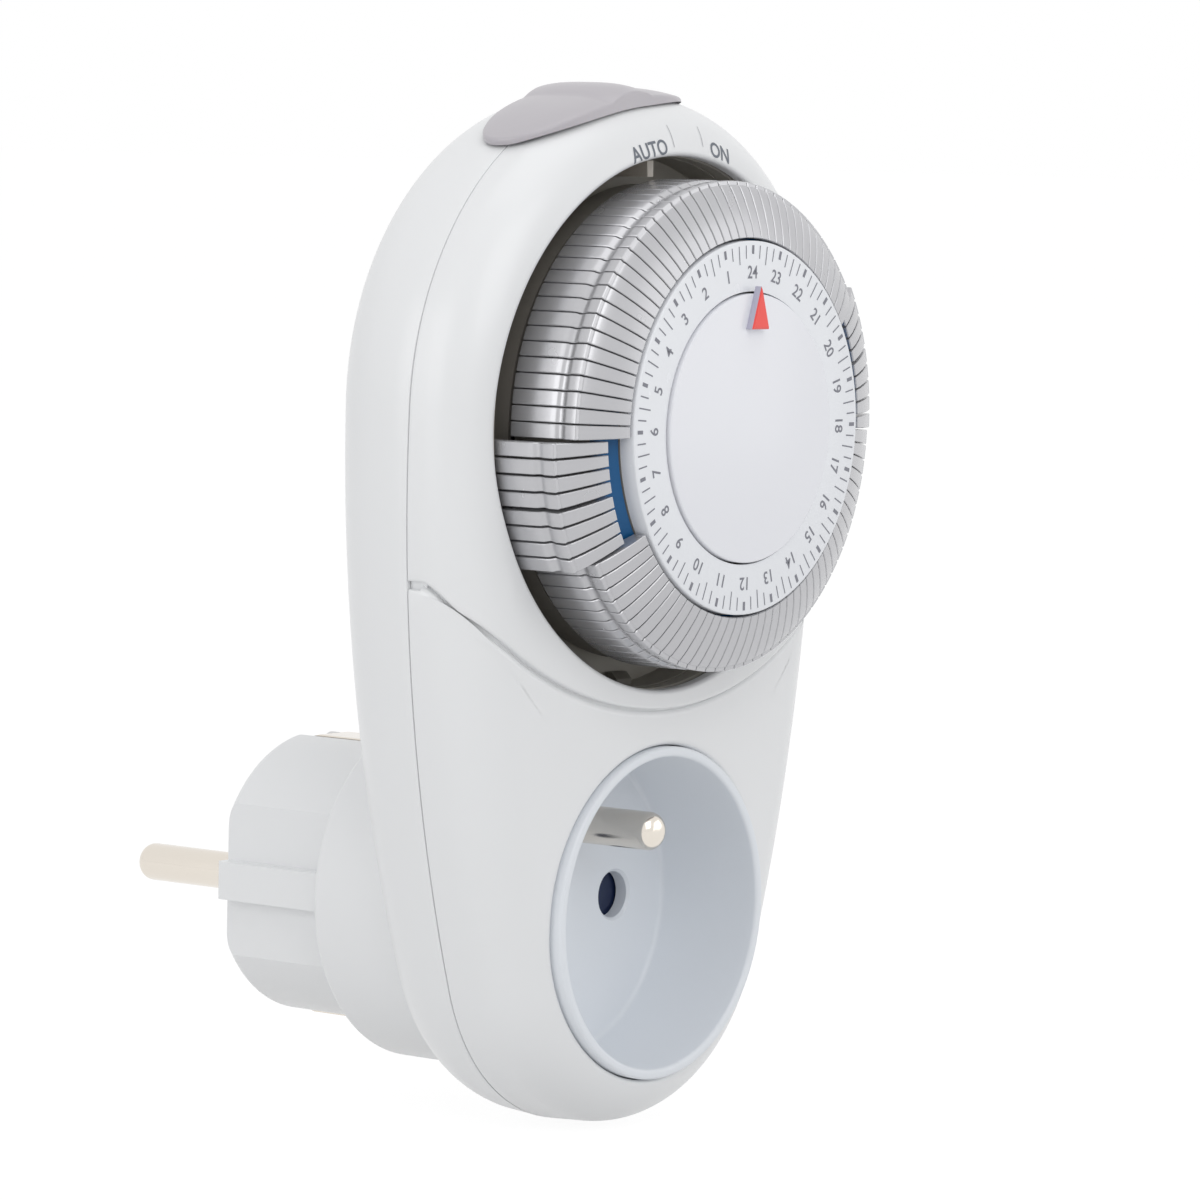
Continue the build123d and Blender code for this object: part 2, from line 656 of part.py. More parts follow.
switched = (7, 8, 19, 20)  # hours whose four tabs stand pushed out
single_tab = 18 * hour_tabs  # tab of 18:00, pushed out by itself
for hour in range(1, 25):
    low, high = hour_tabs * (hour - 1) + 1, hour_tabs * hour
    if high == single_tab:
        high = high - 1
    tabs = tab_group(low, high, hour in switched)
    tabs.label = f"tabs_{hour:02d}"
    export_step(tabs, f"parts/tabs_{hour:02d}.step")
single = tab_group(single_tab, single_tab, True)
single.label = "tab_18_00"
export_step(single, "parts/tab_18_00.step")

# ---- drive ----
motor_y = REAR_IN_Y - MOTOR_LEN
wheel_y = motor_y - PLAY - WHEEL_T
collar_r = ARBOR_R + COLLAR_WALL
with BuildPart() as reduction_gear:
    with BuildSketch(facing(gear_y + GEAR_T, arbor_x, arbor_z)):
        pinion_phase = mesh_phase(ARBOR_ANGLE, DIAL_TEETH, PINION_TEETH)
        add(toothed(PINION_TEETH, DIAL_MODULE, ARBOR_R + RUN, pinion_phase))
    extrude(amount=GEAR_T)
    add(rod(collar_r, gear_y + GEAR_T, wheel_y + WHEEL_T, arbor_x, arbor_z))
    add(rod(ARBOR_R + RUN, gear_y - 1, wheel_y + WHEEL_T + 1, arbor_x, arbor_z), mode=Mode.SUBTRACT)
    with BuildSketch(facing(wheel_y + WHEEL_T, arbor_x, arbor_z)):
        add(toothed(WHEEL_TEETH, MOTOR_MODULE, ARBOR_R + RUN))
    extrude(amount=WHEEL_T)
reduction_gear.part.label = "reduction_gear"
export_step(reduction_gear.part, "parts/reduction_gear.step")

with BuildPart() as gear_arbor:
    add(rod(ARBOR_R, gear_y - PLAY, REAR_IN_Y, arbor_x, arbor_z))
gear_arbor.part.label = "gear_arbor"
export_step(gear_arbor.part, "parts/gear_arbor.step")

shaft_y = motor_y + SHAFT_GRIP
bore_phase = mesh_phase(MOTOR_ANGLE, WHEEL_TEETH, MOTOR_TEETH)
with BuildPart() as output_pinion:
    with BuildSketch(facing(wheel_y + WHEEL_T, motor_x, motor_z)):
        add(toothed(MOTOR_TEETH, MOTOR_MODULE, SHAFT_R - RUN, bore_phase))
    extrude(amount=WHEEL_T)
    add(rod(SHAFT_R, wheel_y, shaft_y, motor_x, motor_z))
output_pinion.part.label = "output_pinion"
export_step(output_pinion.part, "parts/output_pinion.step")

with BuildPart() as motor_can:
    add(rod(MOTOR_R, motor_y, REAR_IN_Y, motor_x, motor_z))
    fillet(motor_can.edges().sort_by(Axis.Y)[0], COLLAR_WALL)
    add(rod(SHAFT_R + RUN, motor_y - 1, shaft_y + PLAY, motor_x, motor_z), mode=Mode.SUBTRACT)
motor_can.part.label = "motor_can"
export_step(motor_can.part, "parts/motor_can.step")

# ---- override ----
ring_r = POST_R + CARRIAGE_RING
mark_y = FACE_Y + TAB_LEN + run_y + PLAY
with BuildPart() as override_carriage:
    ring = [(POST_R + RUN, carriage_y), (ring_r, carriage_y), (ring_r, carriage_y + ARM_T)]
    add(turned(ring + [(POST_R + RUN, carriage_y + ARM_T)], DIAL_Z))
    with BuildSketch(radial(90 - CAP_ANGLE - STEM_SPREAD / 2)):
        with BuildLine():
            Polyline(
                (ring_r - 1, carriage_y),
                (CAP_R - SEAT, carriage_y),
                (CAP_R - SEAT, carriage_y + STEM_T),
                (MARK_R - MARK_W, carriage_y + STEM_T),
                (MARK_R - MARK_W - STEM_T / 2, carriage_y + ARM_T),
                (ring_r - 1, carriage_y + ARM_T),
                close=True,
            )
        make_face()
    revolve(axis=DIAL_AXIS, revolution_arc=STEM_SPREAD)
    with BuildSketch(radial(90 - MARK_ANGLE - MARK_SPREAD / 2)):
        with Locations((MARK_R + MARK_W / 2, (mark_y + carriage_y + ARM_T / 2) / 2)):
            Rectangle(MARK_W, carriage_y + ARM_T / 2 - mark_y)
    revolve(axis=DIAL_AXIS, revolution_arc=MARK_SPREAD)
override_carriage.part.label = "override_carriage"
export_step(override_carriage.part, "parts/override_carriage.step")

# The cap's underside keeps a play from the rounded top of the housing, which it slides over.
half = CAP_W / 2
over = CAP_R - PLAY
cap_arc = math.degrees(CAP_LEN / CAP_R) + 2
lean = math.radians(CAP_ANGLE)


def cap_side(side):
    """Shoulder, middle and edge of one side of the cap's underside, as (radius, y)."""
    mid_y = FRONT_Y + FRONT_ROUND if side < 0 else REAR_Y - REAR_ROUND
    edge_round = FRONT_ROUND if side < 0 else REAR_ROUND
    draft = math.radians(FRONT_DRAFT if side < 0 else REAR_DRAFT)
    middle = over - edge_round / math.cos(draft) - abs(WIDE_Y - mid_y) * math.tan(draft)
    width = abs(CAP_Y + side * (half + 0.5) - mid_y)
    points = []
    for share in (0, 0.5, 1):
        across = width * share
        points.append((middle + math.sqrt((edge_round + PLAY) ** 2 - across**2), mid_y + side * across))
    return points


def cap_shell(top_r):
    """Crowned cap over the whole width: its underside fits the housing, its top rises to this radius."""
    front, rear = cap_side(-1), cap_side(1)
    front_top, rear_top = (top_r - CAP_CROWN, front[2][1]), (top_r - CAP_CROWN, rear[2][1])
    with BuildPart() as shell:
        with BuildSketch(radial(90 - CAP_ANGLE - cap_arc / 2)):
            with BuildLine():
                ThreePointArc(front[2], front[1], front[0])
                Polyline(front[0], (CAP_R, WIDE_Y), rear[0])
                ThreePointArc(rear[0], rear[1], rear[2])
                Line(rear[2], rear_top)
                ThreePointArc(rear_top, (top_r, CAP_Y), front_top)
                Line(front_top, front[2])
            make_face()
        revolve(axis=DIAL_AXIS, revolution_arc=cap_arc)
    return shell.part


with BuildPart() as thumb_hump:
    add(cap_shell(CAP_R + CAP_RISE + THUMB_RISE))
    with BuildSketch(facing(CAP_Y + half, 0, DIAL_Z)):
        hump_mid = CAP_R + CAP_RISE + THUMB_RISE - THUMB_R
        with Locations((hump_mid * math.sin(lean), hump_mid * math.cos(lean))):
            Circle(THUMB_R)
    extrude(amount=CAP_W, mode=Mode.INTERSECT)

with BuildPart() as override_cap:
    add(cap_shell(CAP_R + CAP_RISE))
    add(thumb_hump.part)
    top_plane = Plane(
        origin=(CAP_R * math.sin(lean), CAP_Y, DIAL_Z + CAP_R * math.cos(lean)),
        x_dir=(math.cos(lean), 0, -math.sin(lean)),
        z_dir=(math.sin(lean), 0, math.cos(lean)),
    )
    with BuildSketch(top_plane):
        end, side = CAP_LEN / 2, CAP_END_W / 2
        with BuildLine():
            ThreePointArc((-end + CAP_BOW, -side), (0, -half), (end - CAP_BOW, -side))
            ThreePointArc((end - CAP_BOW, -side), (end, 0), (end - CAP_BOW, side))
            ThreePointArc((end - CAP_BOW, side), (0, half), (-end + CAP_BOW, side))
            ThreePointArc((-end + CAP_BOW, side), (-end, 0), (-end + CAP_BOW, -side))
        make_face()
        fillet(vertices(), CAP_CORNER)
    extrude(amount=CAP_R / 2, both=True, mode=Mode.INTERSECT)
override_cap.part.label = "override_cap"
export_step(override_cap.part, "parts/override_cap.step")

# ---- socket ----
cup_back = CUP_FLOOR_Y + CUP_FLOOR_T
skirt_in_r = CUP_OUT_R - SKIRT_WALL
lug = PLUNGER_SPRING_R + SPRING_LUG
spring_y = carriage_y + STEM_T + lug
lug_box = (SPRING_X - lug, SPRING_X + lug, spring_y - lug, spring_y + lug)
with BuildPart() as socket_cup:
    add(rod(CUP_OUT_R, CUP_FRONT_Y, CUP_SKIRT_Y))
    add(block(*lug_box, CUP_OUT_R * 0.7, PLUNGER_SEAT_Z))
    add(rod(skirt_in_r, cup_back, CUP_SKIRT_Y + 1), mode=Mode.SUBTRACT)
    seat_w = SHUTTER_SPRING_R + SPRING_WIRE
    add(block(-seat_w, seat_w, cup_back, CUP_SKIRT_Y, SPRING_SEAT_Z - SPRING_SEAT_T, SPRING_SEAT_Z))
    for side in (-1, 1):
        edge = side * (SHUTTER_W / 2 + PLAY)
        outer_edge = edge + side * GUIDE_W
        guide_y = cup_back + SHUTTER_T + 2 * PLAY
        add(block(min(edge, outer_edge), max(edge, outer_edge), cup_back, guide_y, GUIDE_LOW, GUIDE_HIGH))
    add(rod(CUP_R, CUP_FRONT_Y - 1, CUP_FLOOR_Y), mode=Mode.SUBTRACT)
    for side in (-1, 1):
        add(rod(HOLE_R, CUP_FLOOR_Y - 1, cup_back + 1, side * PIN_X), mode=Mode.SUBTRACT)
    add(rod(SHANK_R + SEAT, CUP_FLOOR_Y - 1, cup_back + 1, 0, EARTH_Z), mode=Mode.SUBTRACT)
    lip_edges = socket_cup.edges().filter_by(GeomType.CIRCLE).group_by(Axis.Y)[0]
    fillet(lip_edges, 0.4)
socket_cup.part.label = "socket_cup"
export_step(socket_cup.part, "parts/socket_cup.step")

strap_y = INSERT_Y - 2 * STRAP_T - STRAP_T
with BuildPart() as socket_earth_pin:
    add(rod(PIN_R, EARTH_TIP_Y, CUP_FLOOR_Y, 0, EARTH_Z))
    fillet(socket_earth_pin.edges().sort_by(Axis.Y)[0], PIN_R * 0.7)
    add(rod(SHANK_R, CUP_FLOOR_Y, strap_y, 0, EARTH_Z))
    add(rod(PIN_R + EARTH_FLANGE, cup_back, cup_back + 2 * STRAP_T, 0, EARTH_Z))
socket_earth_pin.part.label = "socket_earth_pin"
export_step(socket_earth_pin.part, "parts/socket_earth_pin.step")

shutter_y = cup_back + PLAY
shutter_top = HOLE_R + SHUTTER_LAP
shutter_low = shutter_top - SHUTTER_H
with BuildPart() as shutter:
    add(block(-SHUTTER_W / 2, SHUTTER_W / 2, shutter_y, shutter_y + SHUTTER_T, shutter_low, shutter_top))
    add(block(-FOOT_W / 2, FOOT_W / 2, shutter_y, CUP_SKIRT_Y - PLAY, shutter_low, shutter_low + FOOT_H))
    ramp = shutter.edges().filter_by(Axis.X).group_by(Axis.Z)[-1].sort_by(Axis.Y)[0]
    chamfer(ramp, SHUTTER_RAMP)
    corners = shutter.edges().filter_by(Axis.Y)
    fillet(corners.filter_by(lambda e: abs(abs(e.center().X) - SHUTTER_W / 2) < 0.01), 0.8)
shutter.part.label = "shutter"
export_step(shutter.part, "parts/shutter.step")

coil_y = cup_back + PLAY + SHUTTER_SPRING_R + SPRING_WIRE / 2
shutter_spring = coil(SHUTTER_SPRING_R, SPRING_WIRE, SPRING_SEAT_Z, shutter_low, 4, 0, coil_y)
shutter_spring.label = "shutter_spring"
export_step(shutter_spring, "parts/shutter_spring.step")

# ---- plug ----
flange_r = PLUG_R + FLANGE_GRIP
with BuildPart() as plug_body:
    add(rod(PLUG_R, INSERT_Y, 0))
    flats = plug_body.edges().filter_by(GeomType.CIRCLE).sort_by(Axis.Y)[-1]
    fillet(flats, PLUG_ROUND)
    for low, high in ((-PLUG_R - 1, -PLUG_FLAT), (PLUG_FLAT, PLUG_R + 1)):
        add(block(low, high, BOSS_Y, 1, -PLUG_R, PLUG_R), mode=Mode.SUBTRACT)
    for low, high in ((-RAIL_X, 1 - PLUG_FLAT), (PLUG_FLAT - 1, RAIL_X)):
        add(block(low, high, BOSS_Y, 0, -RAIL_H / 2, RAIL_H / 2))
    rail_ends = plug_body.edges().filter_by(Axis.Z).group_by(Axis.Y)[-1]
    chamfer(rail_ends.filter_by(lambda e: abs(abs(e.center().X) - RAIL_X) < 0.01), RAIL_CHAMFER)
    add(rod(flange_r, INSERT_Y, BOSS_Y - BOSS_WALL))
    for side in (-1, 1):
        add(rod(SHANK_R + SEAT, INSERT_Y - 1, 1, side * PIN_X), mode=Mode.SUBTRACT)
        add(rod(COLLAR_R + SEAT, INSERT_Y - 1, INSERT_Y + COLLAR_T, side * PIN_X), mode=Mode.SUBTRACT)
        deep, tall = side * (CLIP_Z - PLAY), side * (CLIP_Z + CLIP_T + CLIP_BOW + PLAY)
        slim = side * (CLIP_Z + CLIP_T + PLAY)
        half = CLIP_W / 2 + PLAY
        add(block(-half, half, INSERT_Y - 1, 1, min(deep, slim), max(deep, slim)), mode=Mode.SUBTRACT)
        wide = side * (PLUG_R + 1)
        add(block(-half, half, BOSS_Y + 1, 1, min(deep, wide), max(deep, wide)), mode=Mode.SUBTRACT)
    add(rod(EARTH_HOLE_R, -EARTH_HOLE_DEPTH, 1, 0, EARTH_Z), mode=Mode.SUBTRACT)
    rims = plug_body.edges().filter_by(GeomType.CIRCLE).sort_by(Axis.Y)
    chamfer(rims.filter_by(lambda e: abs(e.radius - EARTH_HOLE_R) < 0.01)[-1], HOLE_CHAMFER)
plug_body.part.label = "plug_body"
export_step(plug_body.part, "parts/plug_body.step")

for side, name in ((-1, "plug_pin_left"), (1, "plug_pin_right")):
    with BuildPart() as pin:
        add(rod(PIN_R, 0, PIN_LEN, side * PIN_X))
        fillet(pin.edges().sort_by(Axis.Y)[-1], PIN_R * 0.7)
        add(rod(SHANK_R, INSERT_Y, 0, side * PIN_X))
        add(rod(COLLAR_R, INSERT_Y, INSERT_Y + COLLAR_T, side * PIN_X))
    pin.part.label = name
    export_step(pin.part, f"parts/{name}.step")

strap_back = strap_y + STRAP_T
for side, name in ((1, "earth_clip_top"), (-1, "earth_clip_bottom")):
    with BuildPart() as clip:
        with BuildSketch(Plane(origin=(-CLIP_W / 2, 0, 0), x_dir=(0, 1, 0), z_dir=(1, 0, 0))):
            with BuildLine():
                low, high = side * CLIP_Z, side * (CLIP_Z + CLIP_BOW)
                thick = side * CLIP_T
                rise, tip = BOSS_Y / 5, -CLIP_T
                Polyline(
                    (strap_back, low),
                    (BOSS_Y - rise / 2, low),
                    (BOSS_Y - rise, high),
                    (rise + tip, high),
                    (tip, low),
                    (tip, low + thick),
                    (rise + tip + CLIP_T / 2, high + thick),
                    (BOSS_Y - rise - CLIP_T / 2, high + thick),
                    (BOSS_Y - rise / 2 - CLIP_T / 2, low + thick),
                    (strap_back, low + thick),
                    close=True,
                )
            make_face()
        extrude(amount=CLIP_W)
    clip.part.label = name
    export_step(clip.part, f"parts/{name}.step")

with BuildPart() as earth_strap:
    reach = CLIP_Z + CLIP_T
    add(block(-CLIP_W / 2, CLIP_W / 2, strap_y, strap_back, -reach, reach))
earth_strap.part.label = "earth_strap"
export_step(earth_strap.part, "parts/earth_strap.step")

with BuildPart() as neutral_contact:
    add(rod(SLEEVE_OUT_R, SLEEVE_Y, INSERT_Y, PIN_X))
    add(rod(SLEEVE_R, SLEEVE_Y - 1, INSERT_Y + 1, PIN_X), mode=Mode.SUBTRACT)
    slit_z = SLEEVE_OUT_R + 1
    slit = block(-SLIT / 2, SLIT / 2, SLEEVE_Y - 1, SLEEVE_Y + SLEEVE_LEN * 0.7, -slit_z, slit_z)
    add(slit.moved(Location((PIN_X, 0, 0))), mode=Mode.SUBTRACT)
neutral_contact.part.label = "neutral_contact"
export_step(neutral_contact.part, "parts/neutral_contact.step")

plate_y = SLEEVE_Y + SLEEVE_LEN * 0.42
plate_h = BAR_W - BRIDGE_T
plate_low = EARTH_Z + PIN_R + STRAP_T
plate_top = plate_low + plate_h
plate_w = 4.0
with BuildPart() as live_contact:
    plate_x = -PIN_X - plate_w / 2
    add(rod(SLEEVE_OUT_R, SLEEVE_Y, INSERT_Y - BAR_W, -PIN_X))
    add(block(plate_x, plate_x + plate_w, plate_y, plate_y + STRAP_T, 0, plate_top))
    add(block(plate_x, CONTACT_X + BAR_W / 2, plate_y, plate_y + STRAP_T, plate_low, plate_top))
    add(rod(SLEEVE_R, SLEEVE_Y - 1, INSERT_Y, -PIN_X), mode=Mode.SUBTRACT)
    slit = block(-SLIT / 2, SLIT / 2, SLEEVE_Y - 1, plate_y - SLIT, -slit_z, slit_z)
    add(slit.moved(Location((-PIN_X, 0, 0))), mode=Mode.SUBTRACT)
live_contact.part.label = "live_contact"
export_step(live_contact.part, "parts/live_contact.step")

# ---- switch ----
bridge_low = PLUNGER_Z - BRIDGE_T
pad_top = bridge_low - PLUNGER_TRAVEL - RUN
leg_y = REAR_IN_Y - STRAP_T - BAR_T
pad_y0 = leg_y + BAR_T - PAD_L
with BuildPart() as fixed_blade:
    x0, x1 = CONTACT_X - BAR_W / 2, CONTACT_X + BAR_W / 2
    add(block(x0, x1, pad_y0, leg_y + BAR_T, pad_top - BAR_T, pad_top))
    add(block(x0, x1, leg_y, leg_y + BAR_T, plate_top, pad_top))
    add(block(x0, x1, leg_y, plate_y + STRAP_T, plate_top, plate_top + BAR_T))
fixed_blade.part.label = "fixed_blade"
export_step(fixed_blade.part, "parts/fixed_blade.step")

with BuildPart() as live_busbar:
    x0, x1 = -CONTACT_X - BAR_W / 2, -CONTACT_X + BAR_W / 2
    run_z = plate_top + plate_h * 0.7
    add(block(x0, x1, pad_y0, leg_y + BAR_T, pad_top - BAR_T, pad_top))
    add(block(x0, x1, leg_y, leg_y + BAR_T, run_z, pad_top))
    add(block(x0, x1, leg_y, INSERT_Y, run_z, run_z + BAR_T))
    add(block(x0, x1, INSERT_Y - STRAP_T, INSERT_Y, 0, run_z + BAR_T))
    add(block(-PIN_X - COLLAR_R, x1, INSERT_Y - STRAP_T, INSERT_Y, -COLLAR_R, COLLAR_R))
    add(rod(PIN_R, INSERT_Y - 2, INSERT_Y + 1, -PIN_X), mode=Mode.SUBTRACT)
live_busbar.part.label = "live_busbar"
export_step(live_busbar.part, "parts/live_busbar.step")

with BuildPart() as switch_plunger:
    half = PLUNGER_W / 2
    top = PLUNGER_Z + PLUNGER_H
    add(block(-half, half, NOSE_Y, NOSE_Y + NOSE_L, PLUNGER_Z, DIAL_Z - NOSE_R))
    chamfer(switch_plunger.edges().filter_by(Axis.X).group_by(Axis.Z)[-1].sort_by(Axis.Y)[0], NOSE_L / 2)
    add(block(-half, half, NOSE_Y, leg_y + BAR_T, PLUNGER_Z, top))
    add(block(0, SPRING_X + lug, spring_y - lug, spring_y + lug, PLUNGER_Z, top))
    fillet(switch_plunger.edges().filter_by(Axis.Z).filter_by(lambda e: e.center().X > SPRING_X), 1.0)
switch_plunger.part.label = "switch_plunger"
export_step(switch_plunger.part, "parts/switch_plunger.step")

with BuildPart() as moving_blade:
    reach = CONTACT_X + BAR_W / 2
    add(block(-reach, reach, pad_y0, pad_y0 + BAR_W, bridge_low, PLUNGER_Z))
moving_blade.part.label = "moving_blade"
export_step(moving_blade.part, "parts/moving_blade.step")

plunger_spring = coil(PLUNGER_SPRING_R, SPRING_WIRE, PLUNGER_SEAT_Z, PLUNGER_Z, 3.5, SPRING_X, spring_y)
plunger_spring.label = "plunger_spring"
export_step(plunger_spring, "parts/plunger_spring.step")
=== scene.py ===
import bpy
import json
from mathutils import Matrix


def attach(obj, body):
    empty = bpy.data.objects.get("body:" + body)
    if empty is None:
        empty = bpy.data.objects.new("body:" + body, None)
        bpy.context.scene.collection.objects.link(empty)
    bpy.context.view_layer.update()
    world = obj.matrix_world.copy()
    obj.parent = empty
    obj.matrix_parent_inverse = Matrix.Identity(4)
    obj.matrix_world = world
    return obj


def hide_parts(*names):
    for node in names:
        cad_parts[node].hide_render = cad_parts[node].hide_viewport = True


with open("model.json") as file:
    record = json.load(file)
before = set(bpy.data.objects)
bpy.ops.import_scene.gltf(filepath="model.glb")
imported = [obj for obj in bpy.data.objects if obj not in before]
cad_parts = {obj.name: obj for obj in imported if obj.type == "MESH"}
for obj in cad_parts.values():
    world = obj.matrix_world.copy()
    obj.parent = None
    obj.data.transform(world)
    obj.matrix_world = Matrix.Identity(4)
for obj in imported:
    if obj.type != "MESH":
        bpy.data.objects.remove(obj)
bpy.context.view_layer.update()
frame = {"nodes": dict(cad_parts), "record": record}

import json
import math

import bmesh
import bpy
from mathutils import Matrix, Vector

# Plug-in timer switch. Sizes and places are millimetres in the CAD's frame: the origin is on the
# plug's axis at the plug's face, +Z is up and the dial faces -Y. `piece` turns them into metres.
MM = 0.001
NODES = frame["nodes"]

# ---- housing
TOP_R, TOP_Z = 38.2, 62.85
FOOT_R, FOOT_Z = 27.35, 0.3
SIDE_R = 211.0
FRONT_Y, REAR_Y, WIDE_Y = -58.5, -31.9, -45.0
FRONT_DRAFT, REAR_DRAFT = math.radians(3.0), math.radians(4.5)
FRONT_ROUND, REAR_ROUND, CROWN_R = 8.3, 10.0, 303.0
SEAM_Y, SEAM_TILT = -47.2, math.radians(1.5)
SEAM_BEVEL, SEAM_GAP, SEAM_DEPTH = 0.12, 0.14, 0.9
REAR_MID_Z = 40.0
BOSS_R, BOSS_Y, BOSS_ROUND, BOSS_ROOT = 22.0, -20.0, 0.8, 1.0
PLUG_HOLE_R, PLUG_HOLE_DEPTH = 18.25, 1.5
SCREW_X, SCREW_Z, SCREW_HOLE_R, SCREW_FLOOR_Y = 22.49, 28.0, 2.75, -35.2
SCREW_HEAD_Y, CROSS_LONG, CROSS_WIDE = -33.15, 1.5, 0.3

# ---- step between the two front covers: an arc about (0, STEP_Z)
STEP_R, STEP_Z = 54.0, 79.5
STEP_LIFT, STEP_LIFT_INSET = 0.6, 1.8
STEP_GAP, STEP_DROP = 0.3, 0.5
STEP_DEPTH, STEP_SIDE_DEPTH = 1.1, 0.6
UPPER_EDGE, LOWER_EDGE = 0.35, 0.8
LEDGE_INNER, LEDGE_OUTER = 1.2, 1.6
SIDE_EDGE_FALL = 0.2

# ---- recess
DIAL_Z = 60.6
RECESS_R, RECESS_LIP, RECESS_FLOOR_Y = 32.8, 0.7, -49.4
LIP_BACK = 0.9
LINER_R, LINER_WALL_R, LINER_FOOT_R, LINER_HOLE_R = RECESS_R - 0.05, 33.3, 34.3, 3.3
LINER_FRONT_Y, LINER_FOOT_Y, LINER_BACK_Y = -56.0, -51.0, -48.0
LINER_FOOT_BEVEL = 0.4
JOINT_Y, JOINT_DEPTH, JOINT_OPEN, JOINT_FLOOR = -53.9, 0.4, 0.15, 0.1

# ---- dial
FACE_R, FACE_Y, PLATE_Y, PLATE_EDGE = 22.8, -69.4, -67.2, 0.22
DISC_R, DISC_Y, DISC_BACK_Y, DISC_EDGE, DISC_GAP = 16.4, -69.9, -68.2, 0.2, 0.25
BLUE_IN_R, BLUE_OUT_R, BLUE_DEPTH, BLUE_PLAY = 22.85, 26.0, 0.9, 0.1
DRUM_R, FLANGE_R, DRUM_BACK_Y, FLANGE_Y = 28.1, 28.8, -51.9, -55.4
DRUM_HOLE_R, DRUM_HOLLOW_R, DRUM_HOLLOW_Y, DRUM_PLAY = 3.05, 26.3, -62.0, 0.05
RIB_HEIGHT, RIB_FOOT, RIB_BEVEL, RIB_SIDES = 0.5, 0.1, 0.2, (0.2, 0.8)
AXIS_R = 0.02

# ---- tabs: quarter hours numbered from 1, slid out for the hours in PUSHED_HOURS
TABS, TAB_STEP, TAB_GAP = 96, 3.75, 0.33
HOURS, TABS_PER_HOUR = 24, 4
TAB_IN_R, TAB_OUT_R, TAB_EDGE, TAB_UNDER = 23.1, 30.0, 0.10, 0.35
TAB_TRAVEL, TAB_SLOPE, TAB_FAN = 2.8, math.radians(30), 0.65
PUSHED_HOURS, SINGLE_TAB = (7, 8, 19, 20), 72
# Section of one tab as (radius, distance behind the dial face): slope, ridge, bend and band.
TAB_SECTION = [
    (23.12, 0.55), (23.22, 0.40), (24.6, 0.80), (26.4, 1.50), (28.2, 2.34), (29.1, 2.86),
    (29.38, 3.06),
    (29.46, 3.14), (29.50, 3.24), (29.66, 3.27), (29.90, 3.33), (29.98, 3.42), (30.0, 3.60),
    (29.96, 4.7), (29.84, 5.15), (29.70, 5.45), (29.64, 5.75), (29.70, 6.05), (29.86, 6.3),
    (29.97, 6.6),
    (30.0, 7.2), (30.0, 12.95), (29.85, 13.2), (28.45, 13.2), (28.4, 5.3), (23.3, 2.35),
    (23.12, 2.15),
]

# ---- print; marks as (inner radius, width), words as (text, degrees, radius, width), lines as
# (degrees, inner radius, outer radius)
INK = 0.02
TICK_OUT_R = 22.25
HOUR_TICK, HALF_TICK, QUARTER_TICK = (21.2, 0.46), (20.0, 0.17), (20.65, 0.17)
NUMBER_R, NUMBER_SIZE, NUMBER_WEIGHT, NUMBER_WIDTH = 18.9, 2.2, 0.03, 0.95
WORD_SIZE, WORD_WEIGHT, WORD_CUTS = 2.6, 0.045, 3
COVER_WORDS = (("AUTO", -10.8, 33.95, 6.9), ("ON", 13.6, 34.25, 4.1))
COVER_LINES, LINE_HALF = ((-2.7, 33.9, 36.6), (7.4, 34.3, 36.8)), 0.07
POINTER_HALF, POINTER_FOOT, POINTER_TIP = 1.7, 12.1, 17.3
POINTER_SIDE, POINTER_TOP, POINTER_DRAWN = 0.9, 1.1, 0.12

# ---- override cap: reach runs round the dial axis, wide runs front to back
CAP_R, CAP_Y, CAP_LEAN = 40.75, -47.0, math.radians(-6.4)
CAP_LEFT, CAP_RIGHT = 19.3, 15.2
CAP_FRONT, CAP_BACK = 8.1, 6.0
CAP_LEFT_POWER, CAP_RIGHT_POWER, CAP_SIDE_POWER = 2.9, 2.1, 2.3
CAP_RISE, CAP_CROWN, CAP_TAPER = 0.4, 1.1, 0.3
THUMB_RISE, THUMB_R, THUMB_AT, THUMB_BLEND = 0.82, 8.5, -1.4, 0.02
CAP_EDGE, CAP_SIDE_MIN, CAP_CLEAR, CAP_END_DROP = 0.45, 0.4, 0.2, 0.25

# ---- socket and pins; holes as (rim radius, bore radius)
CUP_R, CUP_OUT_R, CUP_FLOOR_Y, CUP_BACK_Y = 19.4, 20.7, -43.3, -36.2
CUP_RIM_Y, CUP_WALL_Y = -58.0, -57.0
CUP_OUT_ROUND, CUP_IN_ROUND, CUP_FLOOR_ROUND = 0.4, 0.45, 0.7
CUP_GAP, CUP_LIP = 0.15, 0.75
PIN_X, EARTH_Z, PIN_R, PIN_ROUND = 9.5, 10.0, 2.4, 1.7
PIN_HOLE, EARTH_HOLE, HOLE_BACK_Y = (3.3, 2.95), (2.6, 2.45), -41.3
EARTH_TIP_Y, EARTH_ROOT_Y = -57.4, -42.0
PLUG_TIP_Y, PLUG_ROOT_Y = 19.2, -2.0

# ---------------------------------------------------------------- materials
TINT_SCALE, TINT_DETAIL = 60.0, 3.0
GLOSS_SCALE, GLOSS_DETAIL, GLOSS_VARY = 220.0, 4.0, 0.15
GRAIN_DETAIL, BUMP_DISTANCE = 2.0, 0.00005
COAT_ROUGHNESS = 0.12


def lin(red, green, blue):
    """sRGB 0-255 to linear."""
    out = []
    for value in (red, green, blue):
        v = value / 255
        out.append(v / 12.92 if v <= 0.04045 else ((v + 0.055) / 1.055) ** 2.4)
    return tuple(out)


